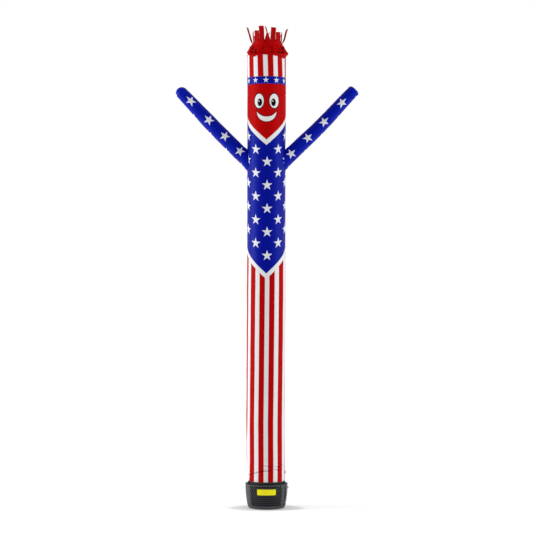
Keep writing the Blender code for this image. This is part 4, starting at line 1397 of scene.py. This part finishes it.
# A buckle's bars, each (centre, size) outward, across and up: the frame's two posts and two
# rails, the two bars of the ladder, and the webbing's end behind them
BUCKLE_BARS = (
    *(((0.0, y, 0.0), (0.0085, 0.0045, 0.0355)) for y in (-0.0107, 0.0107)),
    *(((0.0, 0.0, z), (0.0085, 0.0215, 0.0050)) for z in (-0.0150, 0.0150)),
    *(((0.0015, 0.0, z), (0.0070, 0.0215, 0.0042)) for z in (-0.0050, 0.0055)),
    ((-0.0030, 0.0, 0.0), (0.0030, 0.0170, 0.0300)),
)
BADGE_THICK, BADGE_OFF, BADGE_EDGE = 0.0015, 0.0027, 0.0004
BADGE_GRID = (33, 9)
BADGE_ROUND = 0.26  # radius that the plate is laid out flat with
RIVET_RADIUS, RIVET_SIDES, RIVET_FLAT = 0.0032, 16, 0.5  # a ball pressed to half its height
RIVET_IN, RIVET_TURN, RIVET_OFF = 0.009, 0.030, 0.0028  # in from the edges, and off the wall
BOSS_SIDES = 72
KNOB_FLUTES, NUT_FLUTES = (0.10, 12), (0.12, 6)  # depth as a share of the radius, and how many
# Turned bosses: shares of the radius and of the length, and 1 where it is fluted
KNOB = ((0.55, 0.0, 0), (0.55, 0.14, 0), (0.96, 0.16, 0), (1.0, 0.22, 1), (1.0, 0.80, 1),
        (0.93, 0.93, 1), (0.80, 1.0, 0), (0.52, 1.0, 0), (0.46, 0.94, 0))
THREADS = tuple(ring for i in range(4)
                for ring in ((0.74, 0.26 + 0.05 * i, 0), (0.80, 0.285 + 0.05 * i, 0)))
INLET = ((1.0, 0.0, 1), (1.0, 0.22, 1), (0.80, 0.24, 0), *THREADS, (0.92, 0.48, 1),
         (0.90, 0.72, 1), (0.72, 0.90, 0), (0.46, 1.0, 0), (0.34, 1.0, 0), (0.30, 0.92, 0))


def basket_radius(height):
    return np.interp(height, HOUSING[:, 1], HOUSING[:, 0])


def outward_at(angle):
    return Vector(around(1.0, angle, 0.0))


def is_plain(angle, height):
    """Whether the sheet has no hole here: on a plain flank, or by the knob or the gland."""
    degrees = (math.degrees(angle) + 180.0) % 360.0 - 180.0
    fixed = any(math.hypot((angle - turn) * basket_radius(z), height - z) < FIXING_REACH
                for turn, z in FIXINGS)
    return fixed or any(start < degrees < end for start, end in PLAIN_FLANKS)


def perforate(shape, corners, hole):
    """Faces between a six-cornered cell, from its lower left, and the hole in it."""
    for k in range(HOLE_CORNERS):
        here, there = corners[k], corners[(k + 1) % HOLE_CORNERS]
        a, b, c = hole[2 * k], hole[2 * k + 1], hole[(2 * k + 2) % HOLE_SIDES]
        shape.faces.new((here, b, a))
        shape.faces.new((here, there, b))
        shape.faces.new((there, c, b))


def make_basket(finish):
    """The blower's tapered basket of perforated sheet, with a rounded foot and a flat bottom."""
    columns = np.arange(2 * HOLES_ROUND)
    angles = columns * math.pi / HOLES_ROUND
    curve = smooth_table(HOUSING, BASKET_READ)
    curve[:, 1] = np.maximum(curve[:, 1], 0.0)
    shape = bmesh.new()

    def verts(points):
        return [shape.verts.new(point) for point in points]

    def wall(angle, height, out=0.0):
        return verts(around(np.interp(height, curve[:, 1], curve[:, 0]) + out, angle, height))

    bottom = [verts(around(radius, angles, 0.0)) for radius in BOTTOM_RINGS]
    foot = [wall(angles, height) for height in FOOT_HEIGHTS]
    tall = (HOLES_TOP - HOLES_FOOT) / HOLE_ROWS
    # a level's points make room for the hole above or below them in turn, as in a honeycomb
    levels = [wall(angles, HOLES_FOOT + tall * (k + HONEYCOMB * (2 * ((columns + k) % 2) - 1)))
              for k in range(HOLE_ROWS + 1)]
    rim = [wall(angles, height, out) for height, out in BASKET_RIM]
    hub = shape.verts.new((0.0, 0.0, 0.0))
    for i in columns:
        shape.faces.new((hub, bottom[0][i], bottom[0][i - 1]))
    bands(shape, [*bottom, *foot, levels[0]])
    bands(shape, [levels[-1], *rim])

    rng = np.random.default_rng(HOLE_SEED)
    turned = np.radians(HOLE_START + 360.0 / HOLE_SIDES * np.arange(HOLE_SIDES))
    for row, (low, top) in enumerate(zip(levels, levels[1:])):
        height = HOLES_FOOT + tall * (row + 0.5)
        radius = float(basket_radius(height))
        for cell in range(HOLES_ROUND):
            left, middle, right = (2 * cell + row % 2 + np.array((-1, 0, 1))) % len(columns)
            angle = angles[middle]
            if is_plain(angle, height):
                shape.faces.new((low[left], low[middle], top[middle], top[left]))
                shape.faces.new((low[middle], low[right], top[right], top[middle]))
                continue
            size = HOLE_RADIUS * (1.0 + HOLE_UNEVEN * rng.uniform(-1.0, 1.0))
            hole = wall(angle + size * np.cos(turned) / radius, height + size * np.sin(turned))
            perforate(shape, (low[left], low[middle], low[right], top[right], top[middle],
                              top[left]), hole)
    bmesh.ops.recalc_face_normals(shape, faces=shape.faces)
    piece = new_object(mesh_of(shape, "blower_basket", BASKET_SHARP), finish, SHEET)
    split = piece.modifiers.new("crisp_edges", "EDGE_SPLIT")
    split.split_angle = math.radians(BASKET_SHARP)
    dress(piece, "blower_steel", "blower_housing")


def make_drum(finish):
    """A dark drum inside the basket, round the fan."""
    turned_piece("fan_drum", DRUM, DRUM_SIDES, finish, "black_plastic")


def make_outlet(finish):
    """The top plate with its rolled rim, and the collar that the tube fits over."""
    rim, base = HOUSING[-1][0], HOUSING[-1][1] + GAP
    roll = np.radians(np.linspace(-90.0, 90.0, RIM_STEPS)[1:-1])
    profile = [(OUTLET_RADIUS - OUTLET_WALL, base), (rim - PLATE_STEPS[0][0], base)]
    profile += [(rim - RIM_ROUND + RIM_ROUND * math.cos(turn),
                 base + RIM_ROUND + RIM_ROUND * math.sin(turn)) for turn in roll]
    profile += [(rim - inward, PLATE_TOP - sunk) for inward, sunk in PLATE_STEPS]
    profile += [(OUTLET_RADIUS + out, PLATE_TOP + up) for out, up in OUTLET_FILLET]
    profile += [(OUTLET_RADIUS - inward, OUTLET_TOP - sunk) for inward, sunk in OUTLET_LIP]
    turned_piece("outlet_rim", profile, RIM_SIDES, finish, "black_plastic", "outlet_collar",
                 closed=True)


def make_strap(finish):
    """Ribbed webbing drawn tight round the tube's mouth."""
    inner = float(tube_radius(STRAP_FOOT)) + GAP
    outer = inner + STRAP_THICK - RIB_DEEP
    foot, top = STRAP_FOOT + STRAP_SOFT, STRAP_TOP - STRAP_SOFT
    ribs = [(outer + RIB_DEEP * math.sin(math.pi * STRAP_RIBS * share) ** 2,
             foot + (top - foot) * share) for share in np.linspace(0.0, 1.0, 4 * STRAP_RIBS + 1)]
    profile = [(inner, top), (inner, foot), (inner + STRAP_CORNER, STRAP_FOOT), *ribs,
               (inner + STRAP_CORNER, STRAP_TOP)]
    turned_piece("strap_webbing", profile, RIM_SIDES, finish, "webbing", "base_strap",
                 closed=True)


def bars(name, boxes, place, soften):
    """Softened bars, each (centre, size) in its own axes, as one mesh."""
    shape = bmesh.new()
    for centre, size in boxes:
        made = bmesh.ops.create_cube(shape, size=1.0)["verts"]
        bmesh.ops.scale(shape, vec=size, verts=made)
        bmesh.ops.translate(shape, vec=centre, verts=made)
        edges = list({e for v in made for e in v.link_edges})
        bmesh.ops.bevel(shape, geom=edges, offset=min(soften, SOFT_SHARE * min(size)),
                        segments=2, profile=0.5, affect="EDGES")
    bmesh.ops.transform(shape, matrix=place, verts=shape.verts)
    return mesh_of(shape, name, BAR_SHARP)


def make_buckles(finish):
    """A ladder buckle on the strap at each front side."""
    reach = float(tube_radius(STRAP_FOOT)) + GAP + STRAP_THICK + BUCKLE_OFF
    for side, word in ((-1.0, "left"), (1.0, "right")):
        angle = math.radians(side * CLIP_ANGLE)
        centre = Vector(around(reach, angle, PLATE_TOP + GAP + BUCKLE_LIFT))
        place = Matrix.Translation(centre) @ Matrix.Rotation(angle - math.pi / 2.0, 4, "Z")
        mesh = bars("buckle_" + word, BUCKLE_BARS, place, BUCKLE_SOFT)
        dress(new_object(mesh, finish), "black_plastic", "strap_clip_" + word)


def make_badge(finish):
    """A plain yellow plate bent round the basket."""
    half = math.radians(BADGE_HALF_ANGLE)
    angle, height = np.meshgrid(np.linspace(-half, half, BADGE_GRID[0]),
                                np.linspace(BADGE_FOOT, BADGE_TOP, BADGE_GRID[1]))
    points = around(basket_radius(height) + BADGE_OFF, angle, height)
    flat = np.stack((angle * BADGE_ROUND, height), axis=-1)
    piece = new_object(grid_mesh("badge_plate", points, flat, False), finish, BADGE_THICK)
    edge = piece.modifiers.new("edge", "BEVEL")
    edge.width = BADGE_EDGE
    edge.segments = 2
    edge.limit_method = "ANGLE"
    edge.angle_limit = math.radians(BADGE_SHARP)
    dress(piece, "badge_yellow", "blower_badge")


def make_rivets(finish):
    """A low domed rivet in each corner of the plate."""
    shape = bmesh.new()
    flat = Matrix.Diagonal((1.0, 1.0, RIVET_FLAT, 1.0))
    turn = math.radians(BADGE_HALF_ANGLE) - RIVET_TURN
    for angle in (-turn, turn):
        for height in (BADGE_FOOT + RIVET_IN, BADGE_TOP - RIVET_IN):
            place = Vector(around(float(basket_radius(height)) + RIVET_OFF, angle, height))
            facing = outward_at(angle).to_track_quat("Z", "Y").to_matrix().to_4x4()
            bmesh.ops.create_uvsphere(shape, u_segments=RIVET_SIDES, v_segments=RIVET_SIDES // 2,
                                      radius=RIVET_RADIUS,
                                      matrix=Matrix.Translation(place) @ facing @ flat)
    dress(new_object(mesh_of(shape, "plate_rivets"), finish), "black_plastic")


def boss(name, profile, radius, long, angle, height, flutes, finish, node):
    """A turned boss standing out from the basket, with flutes round it."""
    facing = outward_at(angle).to_track_quat("Z", "Y").to_matrix()
    start = float(basket_radius(height + radius)) + GAP
    lift = Vector((0.0, 0.0, height))
    depth, count = flutes
    shape = bmesh.new()
    rings = []
    for share, reach, fluted in profile:
        ring = []
        for a in TURN * np.arange(BOSS_SIDES) / BOSS_SIDES:
            r = share * radius * (1.0 - depth * fluted * (0.5 - 0.5 * math.cos(count * a)))
            spot = Vector((r * math.cos(a), r * math.sin(a), start + reach * long))
            ring.append(shape.verts.new(facing @ spot + lift))
        rings.append(ring)
    bands(shape, rings)
    shape.faces.new(rings[0][::-1])
    shape.faces.new(rings[-1])
    bmesh.ops.recalc_face_normals(shape, faces=shape.faces)
    dress(new_object(mesh_of(shape, name, BOSS_SHARP), finish), "black_plastic", node)


def make_knob(finish):
    boss("knob", KNOB, KNOB_RADIUS, KNOB_LONG, *FIXINGS[0], KNOB_FLUTES, finish, "blower_knob")


def make_inlet(finish):
    """A cable gland: a six-sided nut, a threaded neck and a domed cap with a sealed eye."""
    boss("cable_gland", INLET, INLET_RADIUS, INLET_LONG, *FIXINGS[1], NUT_FLUTES, finish,
         "cord_inlet")


# ---- studio

KEY_LIGHT = ((-11.6, -1.0, 4.6), 850.0)  # place, power
FILL_LIGHT = ((11.2, -3.0, 4.6), 560.0)
LIGHT_AIM, LIGHT_SIZE = Vector((0.0, 0.0, 3.0)), (3.0, 8.0)
FLOOR_REACH, FLOOR_GREY, VIEW_END = 120.0, (0.93, 0.93, 0.93, 1.0), 400.0


def area_light(name, place, power):
    lamp = bpy.data.lights.new(name, "AREA")
    lamp.shape = "RECTANGLE"
    lamp.size, lamp.size_y = LIGHT_SIZE
    lamp.energy = power
    made = bpy.data.objects.new(name, lamp)
    made.location = place
    made.rotation_euler = (LIGHT_AIM - Vector(place)).to_track_quat("-Z", "Y").to_euler()
    bpy.context.scene.collection.objects.link(made)


def make_world():
    """A white background, which lights the object less strongly than it looks."""
    world = bpy.data.worlds.new("studio")
    bpy.context.scene.world = world
    world.use_nodes = True
    nodes, links = world.node_tree.nodes, world.node_tree.links
    background = nodes["Background"]
    background.inputs["Color"].default_value = (1.0, 1.0, 1.0, 1.0)
    path = nodes.new("ShaderNodeLightPath")
    strength = nodes.new("ShaderNodeMapRange")
    strength.inputs["To Min"].default_value = AMBIENT
    strength.inputs["To Max"].default_value = 1.0
    links.new(path.outputs["Is Camera Ray"], strength.inputs["Value"])
    links.new(strength.outputs[0], background.inputs["Strength"])


def floor_finish():
    """White that glows a little, less round the blower: a painted soft shadow, as an oval."""
    graph = Graph("floor")
    spread = graph.vector("MULTIPLY_ADD", _0=graph.place, _1=(1.0, SHADOW_DEEP, 1.0),
                          _2=(0.0, SHADOW_FORWARD, 0.0))
    distance = graph.vector("LENGTH", "Value", _0=spread)
    glow = GLOW
    for span, rise, kind in ((NEAR_GLOW, NEAR_RISE, "SMOOTHSTEP"), (FAR_GLOW, FAR_RISE, "LINEAR")):
        ramp = graph.feed(graph.add("ShaderNodeMapRange", interpolation_type=kind),
                          Value=distance, From_Min=span[0], From_Max=span[1], To_Min=0.0,
                          To_Max=rise)
        glow = graph.plus(ramp.outputs[0], glow)
    shade = graph.mottled(FLOOR_GREY, least=0.985, most=1.0, scale=1.5, detail=2.0)
    return graph.finish(shade, rough=0.85, Specular_IOR_Level=0.1, Emission_Strength=glow,
                        Emission_Color=(1.0, 1.0, 1.0, 1.0))


def make_floor():
    mesh = bpy.data.meshes.new("floor")
    corners = ((-1.0, -1.0), (1.0, -1.0), (1.0, 1.0), (-1.0, 1.0))
    mesh.from_pydata([(x * FLOOR_REACH, y * FLOOR_REACH, 0.0) for x, y in corners],
                     [], [(0, 1, 2, 3)])
    floor = new_object(mesh, floor_finish())
    floor.visible_diffuse = False


def make_camera():
    camera = bpy.data.cameras.new("camera")
    camera.sensor_width = SENSOR_MM
    camera.lens = SENSOR_MM * FOCAL_PIXELS / PHOTO_PIXELS
    camera.clip_end = VIEW_END
    made = bpy.data.objects.new("camera", camera)
    made.location = (0.0, -CAMERA_DISTANCE, CAMERA_HEIGHT)
    made.rotation_euler = (math.pi / 2.0, 0.0, 0.0)
    bpy.context.scene.collection.objects.link(made)
    bpy.context.scene.camera = made


def make_studio():
    bpy.context.scene.view_settings.view_transform = "Standard"
    make_world()
    area_light("key", *KEY_LIGHT)
    area_light("fill", *FILL_LIGHT)
    make_floor()
    make_camera()


# ---- the whole

STITCH_NAMES = {"hem_border_cloth": "hem_stitches", "collar_border_cloth": "collar_stitches",
                "hat_band_cloth": "band_stitches"}


def make_cloth_finishes():
    return {
        "leg_stripes": nylon("leg_stripes", striped(*LEG_STRIPE, LEG_TWIST)),
        "hat_stripes": nylon("hat_stripes", striped(*HAT_STRIPE, HAT_TWIST)),
        "white_nylon": nylon("white_nylon", WHITE),
        "torso_stars": nylon("torso_stars", torso_print, BLUE_SHINE),
        "band_stars": nylon("band_stars", band_print, BLUE_SHINE),
        "face": nylon("face", face_print),
    }


def make_soft_parts():
    """The tube, the crown with its hair, the sleeves and the borders' threads."""
    panels = make_tube(make_cloth_finishes())
    red = nylon("plain_red", RED)
    crown = make_crown(red)
    hair = make_hair(red)
    arm_stars = nylon("arm_stars", arm_print, BLUE_SHINE)
    arms = [make_arm("sleeve_" + word, "arm_" + word, arm, arm_stars)
            for word, arm in (("left", ARM_LEFT), ("right", ARM_RIGHT))]
    thread = white_thread()
    borders = border_edges()
    threads = {name: stitch_border(STITCH_NAMES[name], *edges, thread)
               for name, edges in borders.items()}
    for name, (piece, edges) in panels.items():
        rise = borders[name][2] if name in borders else 0.0
        declare_tube_sheet(edges, rise)


def make_blower():
    plastic = moulded_plastic()
    make_basket(coated_steel())
    make_drum(drum_paint())
    make_outlet(plastic)
    make_strap(webbing())
    make_buckles(plastic)
    make_badge(yellow_enamel())
    make_rivets(plastic)
    make_knob(plastic)
    make_inlet(plastic)


def main():
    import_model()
    make_studio()
    make_soft_parts()
    make_blower()


main()
